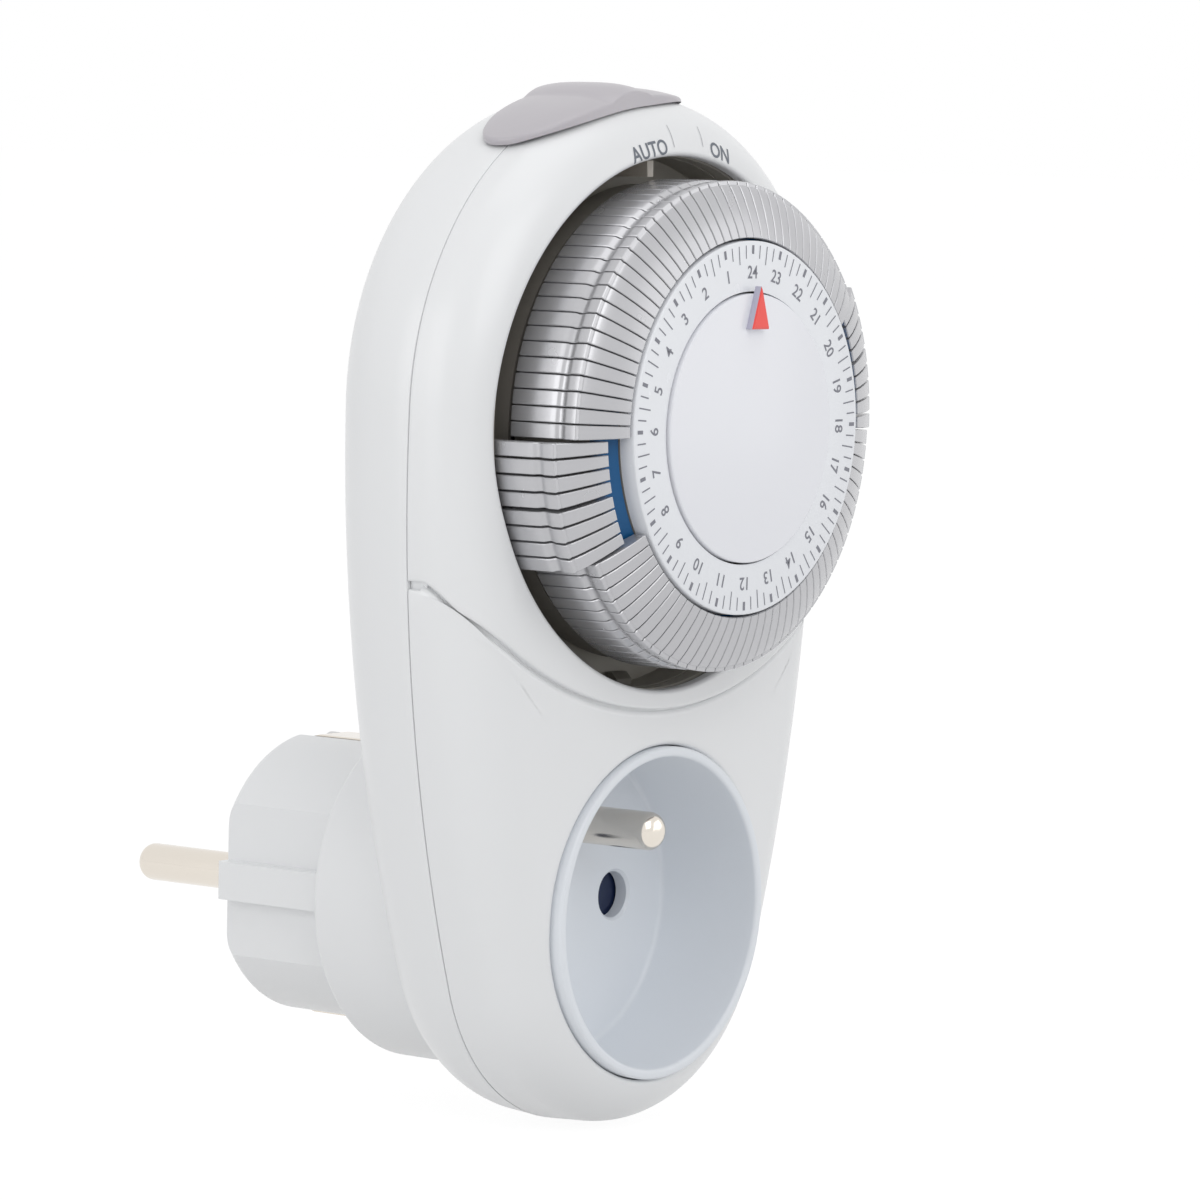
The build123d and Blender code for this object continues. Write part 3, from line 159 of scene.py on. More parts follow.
def noise_range(nodes, links, coords, scale, detail, low, high):
    """Noise mapped to a range; returns the output that carries it."""
    noise = nodes.new("ShaderNodeTexNoise")
    noise.inputs["Scale"].default_value = scale
    noise.inputs["Detail"].default_value = detail
    links.new(coords, noise.inputs["Vector"])
    mapped = nodes.new("ShaderNodeMapRange")
    mapped.inputs["To Min"].default_value = low
    mapped.inputs["To Max"].default_value = high
    links.new(noise.outputs["Fac"], mapped.inputs["Value"])
    return mapped.outputs["Result"]


def material(name, color, rough, vary=0.01, grain=0.06, grain_scale=1300.0, metal=0.0, coat=0.0):
    """Moulded or metal surface: faint colour and gloss variation and a fine grain."""
    made = bpy.data.materials.new(name)
    made.use_nodes = True
    nodes, links = made.node_tree.nodes, made.node_tree.links
    shader = nodes["Principled BSDF"]
    shader.inputs["Metallic"].default_value = metal
    shader.inputs["Coat Weight"].default_value = coat
    shader.inputs["Coat Roughness"].default_value = COAT_ROUGHNESS
    coords = nodes.new("ShaderNodeTexCoord").outputs["Object"]
    shade = noise_range(nodes, links, coords, TINT_SCALE, TINT_DETAIL, 1 - vary, 1 + vary)
    tint = nodes.new("ShaderNodeVectorMath")
    tint.operation = "SCALE"
    tint.inputs[0].default_value = color
    links.new(shade, tint.inputs["Scale"])
    links.new(tint.outputs["Vector"], shader.inputs["Base Color"])
    low, high = rough * (1 - GLOSS_VARY), rough * (1 + GLOSS_VARY)
    gloss = noise_range(nodes, links, coords, GLOSS_SCALE, GLOSS_DETAIL, low, high)
    links.new(gloss, shader.inputs["Roughness"])
    height = noise_range(nodes, links, coords, grain_scale, GRAIN_DETAIL, 0.0, 1.0)
    bump = nodes.new("ShaderNodeBump")
    bump.inputs["Strength"].default_value = grain
    bump.inputs["Distance"].default_value = BUMP_DISTANCE
    links.new(height, bump.inputs["Height"])
    links.new(bump.outputs["Normal"], shader.inputs["Normal"])
    return made


COARSE = dict(grain=0.2, grain_scale=800.0)
FINISHES = {
    "housing_white": dict(color=lin(236, 237, 238), rough=0.32, vary=0.006, coat=0.12),
    # recess_dark: tan grey of the recess liner, painted shade of the deep recess over its white
    # wall
    "recess_dark": dict(color=lin(178, 174, 165), rough=0.5, vary=0.10, **COARSE),
    "screw_steel": dict(color=lin(170, 170, 172), rough=0.35, metal=1.0),
    # inner_plastic: natural plastic given a dark grey as painted shade, so the plunger's nose at
    # the bottom of the recess reads as shade
    "inner_plastic": dict(color=lin(130, 126, 118), rough=0.5, vary=0.05),
    "dial_white": dict(color=lin(236, 238, 242), rough=0.26, vary=0.006, grain=0.03, coat=0.2),
    "disc_white": dict(color=lin(238, 239, 244), rough=0.24, vary=0.006, grain=0.03, coat=0.2),
    "pointer_coral": dict(color=lin(248, 84, 76), rough=0.4, vary=0.02),
    # Lilac grey of the pointer's side walls: painted shade on their white plastic.
    "pointer_side_painted_shade": dict(color=lin(190, 188, 206), rough=0.4, vary=0.02),
    "socket_white": dict(color=lin(231, 235, 240), rough=0.36, vary=0.008),
    "nickel": dict(color=lin(226, 219, 209), rough=0.16, vary=0.04, grain=0.05, metal=1.0),
    "spring_steel": dict(color=lin(150, 150, 154), rough=0.3, metal=1.0),
    "contact_brass": dict(color=lin(214, 178, 110), rough=0.25, metal=1.0),
    "motor_steel": dict(color=lin(165, 165, 168), rough=0.35, metal=1.0),
    "drum_grey": dict(color=lin(118, 114, 108), rough=0.5, vary=0.08, **COARSE),
    "ring_blue": dict(color=lin(0, 88, 142), rough=0.5, vary=0.03),
    "cap_grey": dict(color=lin(186, 182, 187), rough=0.34, vary=0.012, coat=0.1),
    "carriage_white": dict(color=lin(222, 214, 204), rough=0.45, vary=0.02),
    "shutter_navy": dict(color=lin(24, 38, 72), rough=0.4, vary=0.05),
    "tab_grey": dict(color=lin(190, 190, 193), rough=0.26, vary=0.015, metal=0.55, coat=0.1),
    "print_grey": dict(color=lin(128, 129, 138), rough=0.5, vary=0.03),
    # Grey of the cover lines: painted shade of grooves engraved in the cover.
    "engraved_line_painted_shade": dict(color=lin(190, 190, 194), rough=0.4, vary=0.02),
    "label_grey": dict(color=lin(104, 110, 120), rough=0.4, vary=0.03),
}
M = {name: material(name, **finish) for name, finish in FINISHES.items()}
for part in frame["record"]["subparts"]:
    mesh = NODES[part["node"]].data
    mesh.materials.clear()
    mesh.materials.append(M[part["material_slot"]])


# ---------------------------------------------------------------- mesh helpers
WELD = 1e-6
SCREW_SIDES, PIN_SIDES, DRUM_SIDES, DISC_SIDES = 48, 64, 192, 240
HOUSING_SHARP, CAP_SHARP, TAB_SHARP, SOCKET_SHARP = 50, 45, 32, 30


def smooth(mesh, sharp):
    """Smooth shading with sharp edges above this angle in degrees."""
    mesh.polygons.foreach_set("use_smooth", [True] * len(mesh.polygons))
    mesh.set_sharp_from_angle(angle=math.radians(sharp))


def piece(name, verts, faces, body, slot, mats=None, face_mats=None, swap=(), sharp=35.0):
    """Mesh object from millimetre points, riding on its body; swap names the nodes it replaces."""
    mesh = bpy.data.meshes.new(name)
    mesh.from_pydata([(x * MM, y * MM, z * MM) for x, y, z in verts], [], faces)
    for entry in mats or [slot]:
        mesh.materials.append(M[entry])
    if face_mats:
        mesh.polygons.foreach_set("material_index", face_mats)
    work = bmesh.new()
    work.from_mesh(mesh)
    bmesh.ops.remove_doubles(work, verts=work.verts, dist=WELD)
    bmesh.ops.recalc_face_normals(work, faces=work.faces)
    work.to_mesh(mesh)
    work.free()
    smooth(mesh, sharp)
    made = bpy.data.objects.new(name, mesh)
    bpy.context.scene.collection.objects.link(made)
    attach(made, body)
    if swap:
        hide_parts(*swap)
    return made


class Mesh:
    """Vertices and faces collected from several patches."""

    def __init__(self):
        self.verts, self.faces, self.mats = [], [], []

    def add(self, verts, faces, mat=0):
        """One patch; its faces count from its own first vertex."""
        base = len(self.verts)
        self.verts += verts
        self.faces += [tuple(i + base for i in face) for face in faces]
        self.mats += [mat] * len(faces)

    def grid(self, rows, closed=False, mat=0):
        """Quads between rows of points of one length; closed joins each row's ends."""
        width = len(rows[0])
        verts = [point for row in rows for point in row]
        faces = []
        for i in range(len(rows) - 1):
            here, there = i * width, (i + 1) * width
            for k in range(width if closed else width - 1):
                q = (k + 1) % width
                faces.append((here + k, there + k, there + q, here + q))
        self.add(verts, faces, mat)


def spread(start, end, count):
    """count + 1 even steps from start to end."""
    return [start + (end - start) * k / count for k in range(count + 1)]


def circle(radius, y, cx=0.0, cz=0.0, count=160):
    """Points of a circle about an axis along Y."""
    turns = [2 * math.pi * k / count for k in range(count)]
    return [(cx + radius * math.cos(a), y, cz + radius * math.sin(a)) for a in turns]


def arc(cr, cy, radius, start, end, steps=4):
    """Arc of (radius, y) points, angles in degrees."""
    turns = [math.radians(start + (end - start) * k / steps) for k in range(steps + 1)]
    return [(cr + radius * math.cos(a), cy + radius * math.sin(a)) for a in turns]


def lathe(name, profile, body, slot, cx=0.0, cz=DIAL_Z, count=200, closed=True, **kw):
    """Piece turned about an axis along Y from (radius, y) points."""
    rows = [circle(r, y, cx, cz, count) for r, y in profile]
    if closed:
        rows.append(rows[0])
    mesh = Mesh()
    mesh.grid(rows, closed=True)
    return piece(name, mesh.verts, mesh.faces, body, slot, **kw)


def fill_round_holes(mesh, rim, circles):
    """Flat face inside a rim, with round holes."""
    work = bmesh.new()
    edges = []
    for loop in [rim] + circles:
        verts = [work.verts.new(point) for point in loop]
        edges += [work.edges.new((verts[k - 1], verts[k])) for k in range(1, len(verts))]
        edges.append(work.edges.new((verts[-1], verts[0])))
    bmesh.ops.triangle_fill(work, use_beauty=True, use_dissolve=False, edges=edges)
    work.verts.index_update()
    faces = [tuple(v.index for v in face.verts) for face in work.faces]
    mesh.add([tuple(v.co) for v in work.verts], faces)
    work.free()


# ---------------------------------------------------------------- housing surface
# The outline is a top arc and a foot arc joined by two side arcs about (-MID_X, FOOT_Z + MID_Z)
# and its mirror image. An inset is a distance inside it.
RISE = TOP_Z - FOOT_Z
TO_FOOT, TO_TOP = SIDE_R - FOOT_R, SIDE_R - TOP_R
MID_Z = (TO_FOOT**2 - TO_TOP**2 + RISE**2) / (2 * RISE)
MID_X = math.sqrt(TO_FOOT**2 - MID_Z**2)
UP = math.atan2(RISE - MID_Z, MID_X)
DOWN = math.atan2(-MID_Z, MID_X)

FAR = 130.0
TINY = 1e-9
RAY_HALVINGS, STEP_HALVINGS = 34, 40
LINE_SAMPLES, SURFACE_POINTS = 120, 34
UPPER_RAYS, LOWER_RAYS = 200, 220
STEP_COLUMNS, LEDGE_COLUMNS, REAR_RAYS, REAR_ARC = 150, 160, 300, 16


def inset_at(x, z):
    """Distance inside the outline, and the outline's outward normal beside that point."""
    side = 1 if x >= 0 else -1
    turn = math.atan2(z - FOOT_Z - MID_Z, abs(x) + MID_X)
    if turn > UP:
        dx, dz, radius = abs(x), z - TOP_Z, TOP_R
    elif turn < DOWN:
        dx, dz, radius = abs(x), z - FOOT_Z, FOOT_R
    else:
        dx, dz, radius = abs(x) + MID_X, z - FOOT_Z - MID_Z, SIDE_R
    reach = math.hypot(dx, dz)
    return radius - reach, side * dx / max(reach, TINY), dz / max(reach, TINY)


def last_inside(low, high, halvings, inside):
    """Largest value between low and high for which inside(value) holds, by halving."""
    for _ in range(halvings):
        mid = (low + high) / 2
        if inside(mid):
            low = mid
        else:
            high = mid
    return low


def ray_to(cz, angle, inset):
    """Distance along a ray from (0, cz) to the outline drawn in by this inset."""
    c, s = math.cos(angle), math.sin(angle)
    return last_inside(0.0, FAR, RAY_HALVINGS, lambda r: inset_at(r * c, cz + r * s)[0] > inset)


def crown(x, drop):
    """Y of the crowned front; drop is how far the cover lies behind the upper one."""
    return FRONT_Y + drop + CROWN_R - math.sqrt(CROWN_R**2 - x * x)


def edge_round(x, z, drop):
    """Rounding of the front edge beside (x, z): its centre as (inset, y) and its two end angles."""
    inset, nx, _ = inset_at(x, z)
    foot_x = x + nx * inset - nx * FRONT_ROUND
    slope = -foot_x / math.sqrt(CROWN_R**2 - foot_x**2) * nx
    wall_x, wall_y = math.cos(FRONT_DRAFT), math.sin(FRONT_DRAFT)
    length = math.hypot(1, slope)
    top_x, top_y = -slope / length, 1 / length
    off_wall = FRONT_ROUND + wall_y * WIDE_Y
    off_top = FRONT_ROUND + top_x * FRONT_ROUND + top_y * crown(foot_x, drop)
    det = wall_x * top_y - wall_y * top_x
    mid_u = (off_wall * top_y - wall_y * off_top) / det
    mid_y = (wall_x * off_top - top_x * off_wall) / det
    at_wall = math.atan2(-wall_y, -wall_x) % (2 * math.pi)
    at_top = math.atan2(-top_y, -top_x) % (2 * math.pi)
    return mid_u, mid_y, at_wall, at_top


def front_y(x, z, drop=0.0):
    """Front surface of the housing at (x, z)."""
    inset = inset_at(x, z)[0]
    mid_u, mid_y, at_wall, at_top = edge_round(x, z, drop)
    if inset >= mid_u + FRONT_ROUND * math.cos(at_top):
        return crown(x, drop)
    across = min(max(inset - mid_u, FRONT_ROUND * math.cos(at_wall)), FRONT_ROUND)
    return mid_y - math.sqrt(max(FRONT_ROUND**2 - across**2, 0.0))


def sunk(x, z, drop, depth):
    """Point this deep under the front surface at (x, z)."""
    inset, nx, nz = inset_at(x, z)
    mid_u, mid_y, _, at_top = edge_round(x, z, drop)
    y = front_y(x, z, drop)
    if inset >= mid_u + FRONT_ROUND * math.cos(at_top):
        return (x, y + depth, z)
    share = depth / FRONT_ROUND
    pull = (mid_u - inset) * share
    return (x - nx * pull, y + (mid_y - y) * share, z - nz * pull)


def wall_start(x, z, drop):
    """Inset at which the front rounding meets the wall beside an outline point."""
    mid_u, _, at_wall, _ = edge_round(x, z, drop)
    return mid_u + FRONT_ROUND * math.cos(at_wall)


def seam_y(z):
    """Y of the middle of the gap between the covers and the rear shell."""
    return SEAM_Y - math.tan(SEAM_TILT) * (z - DIAL_Z)


def seam_bevel(low, edge_y, away, degrees):
    """(inset, y) on the soft edge at the seam; away is -1 for the covers, 1 for the shell."""
    turn = math.radians(degrees)
    drawn, back = 1 - math.cos(turn), 1 - math.sin(turn)
    return low + SEAM_BEVEL * drawn, edge_y + away * SEAM_BEVEL * back


def resample(path, count):
    """The same path with points evenly spaced along it."""
    lengths = [0.0]
    for a, b in zip(path, path[1:]):
        lengths.append(lengths[-1] + math.dist(a, b))
    out, at = [], 0
    for k in range(count):
        want = lengths[-1] * k / (count - 1)
        while at < len(path) - 2 and lengths[at + 1] < want:
            at += 1
        share = min((want - lengths[at]) / max(lengths[at + 1] - lengths[at], TINY), 1.0)
        out.append(tuple(p + (q - p) * share for p, q in zip(path[at], path[at + 1])))
    return out


def surface_line(start, end, drop):
    """Points over the front surface along a straight line between two (x, z) places."""
    path = []
    for share in spread(0, 1, LINE_SAMPLES):
        x, z = start[0] + (end[0] - start[0]) * share, start[1] + (end[1] - start[1]) * share
        path.append((x, front_y(x, z, drop), z))
    return resample(path, SURFACE_POINTS)


def draft_inset(y):
    """How far the drafted front wall is inside the widest section."""
    return max(WIDE_Y - y, 0.0) * math.tan(FRONT_DRAFT)


def wall_path(cz, angle, top_y, fall=0.0):
    """Points down the wall from the front rounding to the seam, round its edge and inwards."""
    c, s = math.cos(angle), math.sin(angle)
    end_y = seam_y(cz + ray_to(cz, angle, 0.0) * s) - SEAM_GAP / 2
    steps = [(draft_inset(y), y) for y in spread(top_y, end_y - SEAM_BEVEL, 4)[1:]]
    low = draft_inset(end_y)
    steps += [seam_bevel(low, end_y, -1, degrees) for degrees in (30, 60, 90)]
    steps.append((low + SEAM_DEPTH, end_y))
    reach = [(ray_to(cz, angle, inset + fall), y) for inset, y in steps]
    return [(r * c, y, cz + r * s) for r, y in reach]


def lip_path(cz, angle, radius, lip, drop):
    """Points from inside a round opening up over its rounded lip."""
    c, s = math.cos(angle), math.sin(angle)
    x, z = radius * c, cz + radius * s
    out = [(x, front_y(x, z, drop) + lip + LIP_BACK, z)]
    for degrees in range(0, 91, 15):
        turn = math.radians(degrees)
        r = radius + lip * (1 - math.cos(turn))
        x, z = r * c, cz + r * s
        out.append((x, front_y(x, z, drop) + lip * (1 - math.sin(turn)), z))
    return out


def step_point(radius, turn):
    """(x, z) on the step line: an arc that climbs a little more over the rounded sides."""
    x, z = radius * math.cos(turn), STEP_Z + radius * math.sin(turn)
    return x, z + STEP_LIFT * max(STEP_LIFT_INSET - inset_at(x, z)[0], 0.0) ** 2


def step_end(radius, drop):
    """Angle about the step arc's middle at which this arc meets the right side wall."""

    def on_front(turn):
        x, z = step_point(radius, turn)
        return inset_at(x, z)[0] > wall_start(x, z, drop)

    return last_inside(-math.pi / 2, 0.0, STEP_HALVINGS, on_front)


def on_step(radius, end, share):
    """(x, z) on the step arc; share runs from 0 at its right end to 1 at its left end."""
    return step_point(radius, end + (-math.pi - 2 * end) * share)


def step_arcs(radius, edge):
    """Radius and fall of each row of a cover's rounded edge along the step."""
    turns = [math.radians(a) for a in (0, 25, 50, 70, 90)]
    return [(radius - edge * (1 - math.sin(a)), abs(edge) * (1 - math.cos(a))) for a in turns]


def lip_to(cz, angle, end, hole, lip, drop):
    """Points of a cover from its opening over the front surface to an (x, z) place."""
    start = (hole + lip) * math.cos(angle), cz + (hole + lip) * math.sin(angle)
    return lip_path(cz, angle, hole, lip, drop) + surface_line(start, end, drop)[1:]


def outline_rows(cz, rays, hole, lip, drop):
    """Rows of points of a cover from its opening out to the seam."""
    rows = []
    for angle in rays:
        c, s = math.cos(angle), math.sin(angle)
        reach = ray_to(cz, angle, 0.0)
        reach = ray_to(cz, angle, wall_start(reach * c, cz + reach * s, drop))
        row = lip_to(cz, angle, (reach * c, cz + reach * s), hole, lip, drop)
        rows.append(row + wall_path(cz, angle, row[-1][1]))
    return rows


def step_rows(cz, angles, hole, lip, drop, arcs, ends):
    """Rows of points of a cover from its opening to its soft edge along the step arc."""
    rows = []
    for k, angle in enumerate(angles):
        share = k / (len(angles) - 1)
        edge = []
        for (radius, fall), end in zip(arcs, ends):
            x, z = on_step(radius, end, share)
            edge.append(sunk(x, z, drop, fall))
        edge.append(sunk(x, z, drop, fall + STEP_DEPTH))
        row = lip_to(cz, angle, (edge[0][0], edge[0][2]), hole, lip, drop)
        rows.append(row + edge[1:])
    return rows


def side_wall(mesh, row):
    """Closes a cover's side edge inwards."""
    inner = []
    for x, y, z in row:
        _, nx, nz = inset_at(x, z)
        inner.append((x - nx * STEP_DEPTH, y + SIDE_EDGE_FALL, z - nz * STEP_DEPTH))
    mesh.grid([row, inner])


# ---------------------------------------------------------------- covers and rear shell
def build_cover(name, node, cz, hole, lip, drop, radius, edge, step_below):
    """A front cover: its round opening, the outline down to the seam, and its edge at the step."""
    arcs = step_arcs(radius, edge)
    ends = [step_end(r, drop) for r, _ in arcs]
    x, z = on_step(arcs[0][0], ends[0], 0.0)
    right = math.atan2(z - cz, x)
    left = math.pi - right
    if step_below:
        rays = spread(right, left, UPPER_RAYS)
        along_step = spread(right + 2 * math.pi, left, STEP_COLUMNS)
    else:
        rays = spread(left, right + 2 * math.pi, LOWER_RAYS)
        along_step = spread(right, left, STEP_COLUMNS)
    mesh = Mesh()
    mesh.grid(outline_rows(cz, rays, hole, lip, drop))
    mesh.grid(step_rows(cz, along_step, hole, lip, drop, arcs, ends))
    for share in (0.0, 1.0):
        columns = []
        for (r, fall), end in zip(arcs, ends):
            x, z = on_step(r, end, share)
            top = sunk(x, z, drop, fall)
            columns.append([top] + wall_path(cz, math.atan2(z - cz, x), top[1], fall))
        mesh.grid(columns)
        side_wall(mesh, columns[-1])
    piece(name, mesh.verts, mesh.faces, "case", "housing_white", swap=(node,), sharp=HOUSING_SHARP)


def build_step_ledge():
    """Ledge under the gap between the two covers."""
    radii = (STEP_R - LEDGE_INNER, STEP_R, STEP_R + STEP_GAP, STEP_R + LEDGE_OUTER)
    ends = [step_end(radius, 0.0) for radius in radii]
    rows = []
    for share in spread(0, 1, LEDGE_COLUMNS):
        places = [on_step(radius, end, share) for radius, end in zip(radii, ends)]
        rows.append([sunk(x, z, 0.0, STEP_DEPTH) for x, z in places])
    mesh = Mesh()
    mesh.grid(rows)
    for share, row in ((0.0, rows[0]), (1.0, rows[-1])):
        places = [on_step(radius, end, share) for radius, end in zip(radii, ends)]
        shallow = [sunk(x, z, 0.0, STEP_SIDE_DEPTH) for x, z in places]
        seam = [(x, seam_y(z), z) for x, _, z in shallow]
        mesh.grid([row, shallow, seam])
    piece("step_ledge", mesh.verts, mesh.faces, "case", "housing_white", sharp=HOUSING_SHARP)


def rear_column(angle):
    """Points of the rear shell from the seam to its flat back, on one ray."""
    c, s = math.cos(angle), math.sin(angle)
    edge_y = seam_y(REAR_MID_Z + ray_to(REAR_MID_Z, angle, 0.0) * s) + SEAM_GAP / 2
    low = draft_inset(edge_y)
    path = [(low + SEAM_DEPTH, edge_y)]
    path += [seam_bevel(low, edge_y, 1, degrees) for degrees in (90, 60, 30, 0)]
    path.append((0.0, WIDE_Y))
    mid_y = REAR_Y - REAR_ROUND
    mid_u = math.tan(REAR_DRAFT) * (mid_y - WIDE_Y) + REAR_ROUND / math.cos(REAR_DRAFT)
    for a in spread(math.pi - REAR_DRAFT, math.pi / 2, REAR_ARC):
        path.append((mid_u + REAR_ROUND * math.cos(a), mid_y + REAR_ROUND * math.sin(a)))
    reach = [(ray_to(REAR_MID_Z, angle, inset), y) for inset, y in path]
    return [(r * c, y, REAR_MID_Z + r * s) for r, y in reach]


def build_rear_shell():
    """Back half: drafted wall, large rounding, flat back with screw holes, and the plug's boss."""
    columns = [rear_column(angle) for angle in spread(0, 2 * math.pi, REAR_RAYS)[:-1]]
    rows = [list(row) for row in zip(*columns)]
    mesh = Mesh()
    mesh.grid(rows, closed=True)
    walls = []
    for x in (-SCREW_X, SCREW_X):
        depths = (REAR_Y, SCREW_FLOOR_Y)
        walls.append([circle(SCREW_HOLE_R, y, x, SCREW_Z, SCREW_SIDES) for y in depths])
    fill_round_holes(mesh, rows[-1], [wall[0] for wall in walls])
    for wall in walls:
        mesh.grid(wall, closed=True)
    boss = [(BOSS_R, REAR_Y - BOSS_ROOT)]
    boss += arc(BOSS_R - BOSS_ROUND, BOSS_Y - BOSS_ROUND, BOSS_ROUND, 0, 90, 6)
    boss += [(PLUG_HOLE_R, BOSS_Y), (PLUG_HOLE_R, BOSS_Y - PLUG_HOLE_DEPTH)]
    mesh.grid([circle(r, y) for r, y in boss], closed=True)
    piece(
        "rear_shell", mesh.verts, mesh.faces, "case", "housing_white",
        swap=("rear_housing",), sharp=HOUSING_SHARP,
    )


def build_screw_slots():
    """Flat dark crosses on the two back screws: painted shade of their cross recesses."""
    mesh = Mesh()
    for x in (-SCREW_X, SCREW_X):
        for half_x, half_z in ((CROSS_LONG, CROSS_WIDE), (CROSS_WIDE, CROSS_LONG)):
            corners = ((-half_x, -half_z), (half_x, -half_z), (half_x, half_z), (-half_x, half_z))
            points = [(x + dx, SCREW_HEAD_Y, SCREW_Z + dz) for dx, dz in corners]
            mesh.add(points, [(0, 1, 2, 3)])
    # The drum's grey on these flat crosses is painted shade; no recess is cut.
    piece("screw_cross_shade", mesh.verts, mesh.faces, "case", "screw_steel", mats=["drum_grey"])


build_cover(
    "dial_cover", "dial_bezel", DIAL_Z, RECESS_R, RECESS_LIP, 0.0, STEP_R, UPPER_EDGE, True,
)
build_cover(
    "lower_cover", "socket_cover", 0.0, CUP_OUT_R + CUP_GAP, CUP_LIP, STEP_DROP,
    STEP_R + STEP_GAP, -LOWER_EDGE, False,
)
build_step_ledge()
build_rear_shell()
build_screw_slots()
# Liner over the recess's white wall and floor; its tan grey is painted shade of the deep recess.
lathe(
    "recess_shade_liner",
    [
        (LINER_R, LINER_FRONT_Y),
        (LINER_R, JOINT_Y - JOINT_OPEN), (LINER_R + JOINT_DEPTH, JOINT_Y - JOINT_FLOOR),
        (LINER_R + JOINT_DEPTH, JOINT_Y + JOINT_FLOOR), (LINER_R, JOINT_Y + JOINT_OPEN),
        (LINER_R, RECESS_FLOOR_Y), (LINER_HOLE_R, RECESS_FLOOR_Y), (LINER_HOLE_R, LINER_BACK_Y),
        (LINER_FOOT_R, LINER_BACK_Y), (LINER_FOOT_R, LINER_FOOT_Y),
        (LINER_WALL_R, LINER_FOOT_Y - LINER_FOOT_BEVEL), (LINER_WALL_R, LINER_FRONT_Y),
    ],
    "case", "recess_dark", swap=("chassis_plate",),
)


# ---------------------------------------------------------------- dial
def flat_disc(name, inner, outer, front, back, edge, body, **kw):
    """Disc or ring with a softened front edge."""
    profile = [(inner, back), (inner, front)]
    profile += arc(outer - edge, front + edge, edge, -90, 0) + [(outer, back)]
    lathe(name, profile, body, "dial_white", count=DISC_SIDES, **kw)


def under_tabs(radius):
    """Y of the drum's sliding cone."""
    return PLATE_Y + (radius - TAB_IN_R) * math.tan(TAB_SLOPE) + TAB_UNDER


BLUE_BACK_Y = under_tabs(BLUE_OUT_R) + BLUE_DEPTH


def build_drum():
    """Drum under the tabs, with a ribbed flange."""
    front, groove_r = PLATE_Y + DRUM_PLAY, BLUE_OUT_R + BLUE_PLAY
    profile = [
        (DRUM_HOLE_R, front), (FACE_R, front), (FACE_R, BLUE_BACK_Y), (groove_r, BLUE_BACK_Y),
        (groove_r, under_tabs(BLUE_OUT_R)), (DRUM_R, under_tabs(DRUM_R)), (DRUM_R, FLANGE_Y),
        (FLANGE_R, FLANGE_Y), (FLANGE_R, DRUM_BACK_Y), (DRUM_HOLLOW_R, DRUM_BACK_Y),
        (DRUM_HOLLOW_R, DRUM_HOLLOW_Y), (DRUM_HOLE_R, DRUM_HOLLOW_Y),
    ]
    mesh = Mesh()
    rows = [circle(r, y, 0, DIAL_Z, DRUM_SIDES) for r, y in profile]
    mesh.grid(rows + rows[:1], closed=True)
    foot, top = FLANGE_R - RIB_FOOT, FLANGE_R + RIB_HEIGHT
    corners = (
        (foot, FLANGE_Y), (top, FLANGE_Y + RIB_BEVEL), (top, DRUM_BACK_Y - RIB_BEVEL),
        (foot, DRUM_BACK_Y),
    )
    for k in range(TABS):
        ends = []
        for share in RIB_SIDES:
            a = 2 * math.pi * (k + share) / TABS
            ends.append([(r * math.cos(a), y, DIAL_Z + r * math.sin(a)) for r, y in corners])
        mesh.grid(ends, closed=True)
        for end in ends:
            mesh.add(end, [(0, 1, 2, 3)])
    piece("drum_body", mesh.verts, mesh.faces, "dial", "drum_grey")


def quarter_turn(number):
    """Angle of a quarter hour on the dial, counted from 24 at the top."""
    return math.radians(90 + TAB_STEP * number)


def shrunk(section, amount):
    """Closed section drawn in by this amount along its normals."""
    out = []
    count = len(section)
    for k, (r, y) in enumerate(section):
        (r0, y0), (r1, y1) = section[k - 1], section[(k + 1) % count]
        length = math.hypot(r1 - r0, y1 - y0)
        out.append((r - (y1 - y0) / length * amount, y + (r1 - r0) / length * amount))
    return out


def add_tab(mesh, number, slide, toward):
    """One tab with softened long edges, pushed out by this slide towards an angle."""
    angle = quarter_turn(number)
    half = math.radians((TAB_STEP - TAB_GAP) / 2)
    near = half - TAB_EDGE / TAB_OUT_R
    out_r, out_y = slide * math.cos(TAB_SLOPE), slide * math.sin(TAB_SLOPE)
    rows = []
    for turn, drawn in ((-half, TAB_EDGE), (-near, 0.0), (near, 0.0), (half, TAB_EDGE)):
        row = []
        for r, y in shrunk(TAB_SECTION, drawn):
            x = r * math.cos(angle + turn) + out_r * math.cos(toward)
            z = r * math.sin(angle + turn) + out_r * math.sin(toward)
            row.append((x, FACE_Y + y + out_y, DIAL_Z + z))
        rows.append(row)
    mesh.grid(rows, closed=True)
    for row in (rows[0], rows[-1]):
        mesh.add(row, [tuple(range(len(row)))])


def tab_group(node, first, last, slide):
    """Tabs that move together; pushed out, they fan a little about the group's middle."""
    mesh = Mesh()
    middle = (first + last) / 2
    for number in range(first, last + 1):
        toward = quarter_turn(middle + TAB_FAN * (number - middle))
        add_tab(mesh, number, slide, toward)
    piece("seg_" + node, mesh.verts, mesh.faces, node, "tab_grey", swap=(node,), sharp=TAB_SHARP)


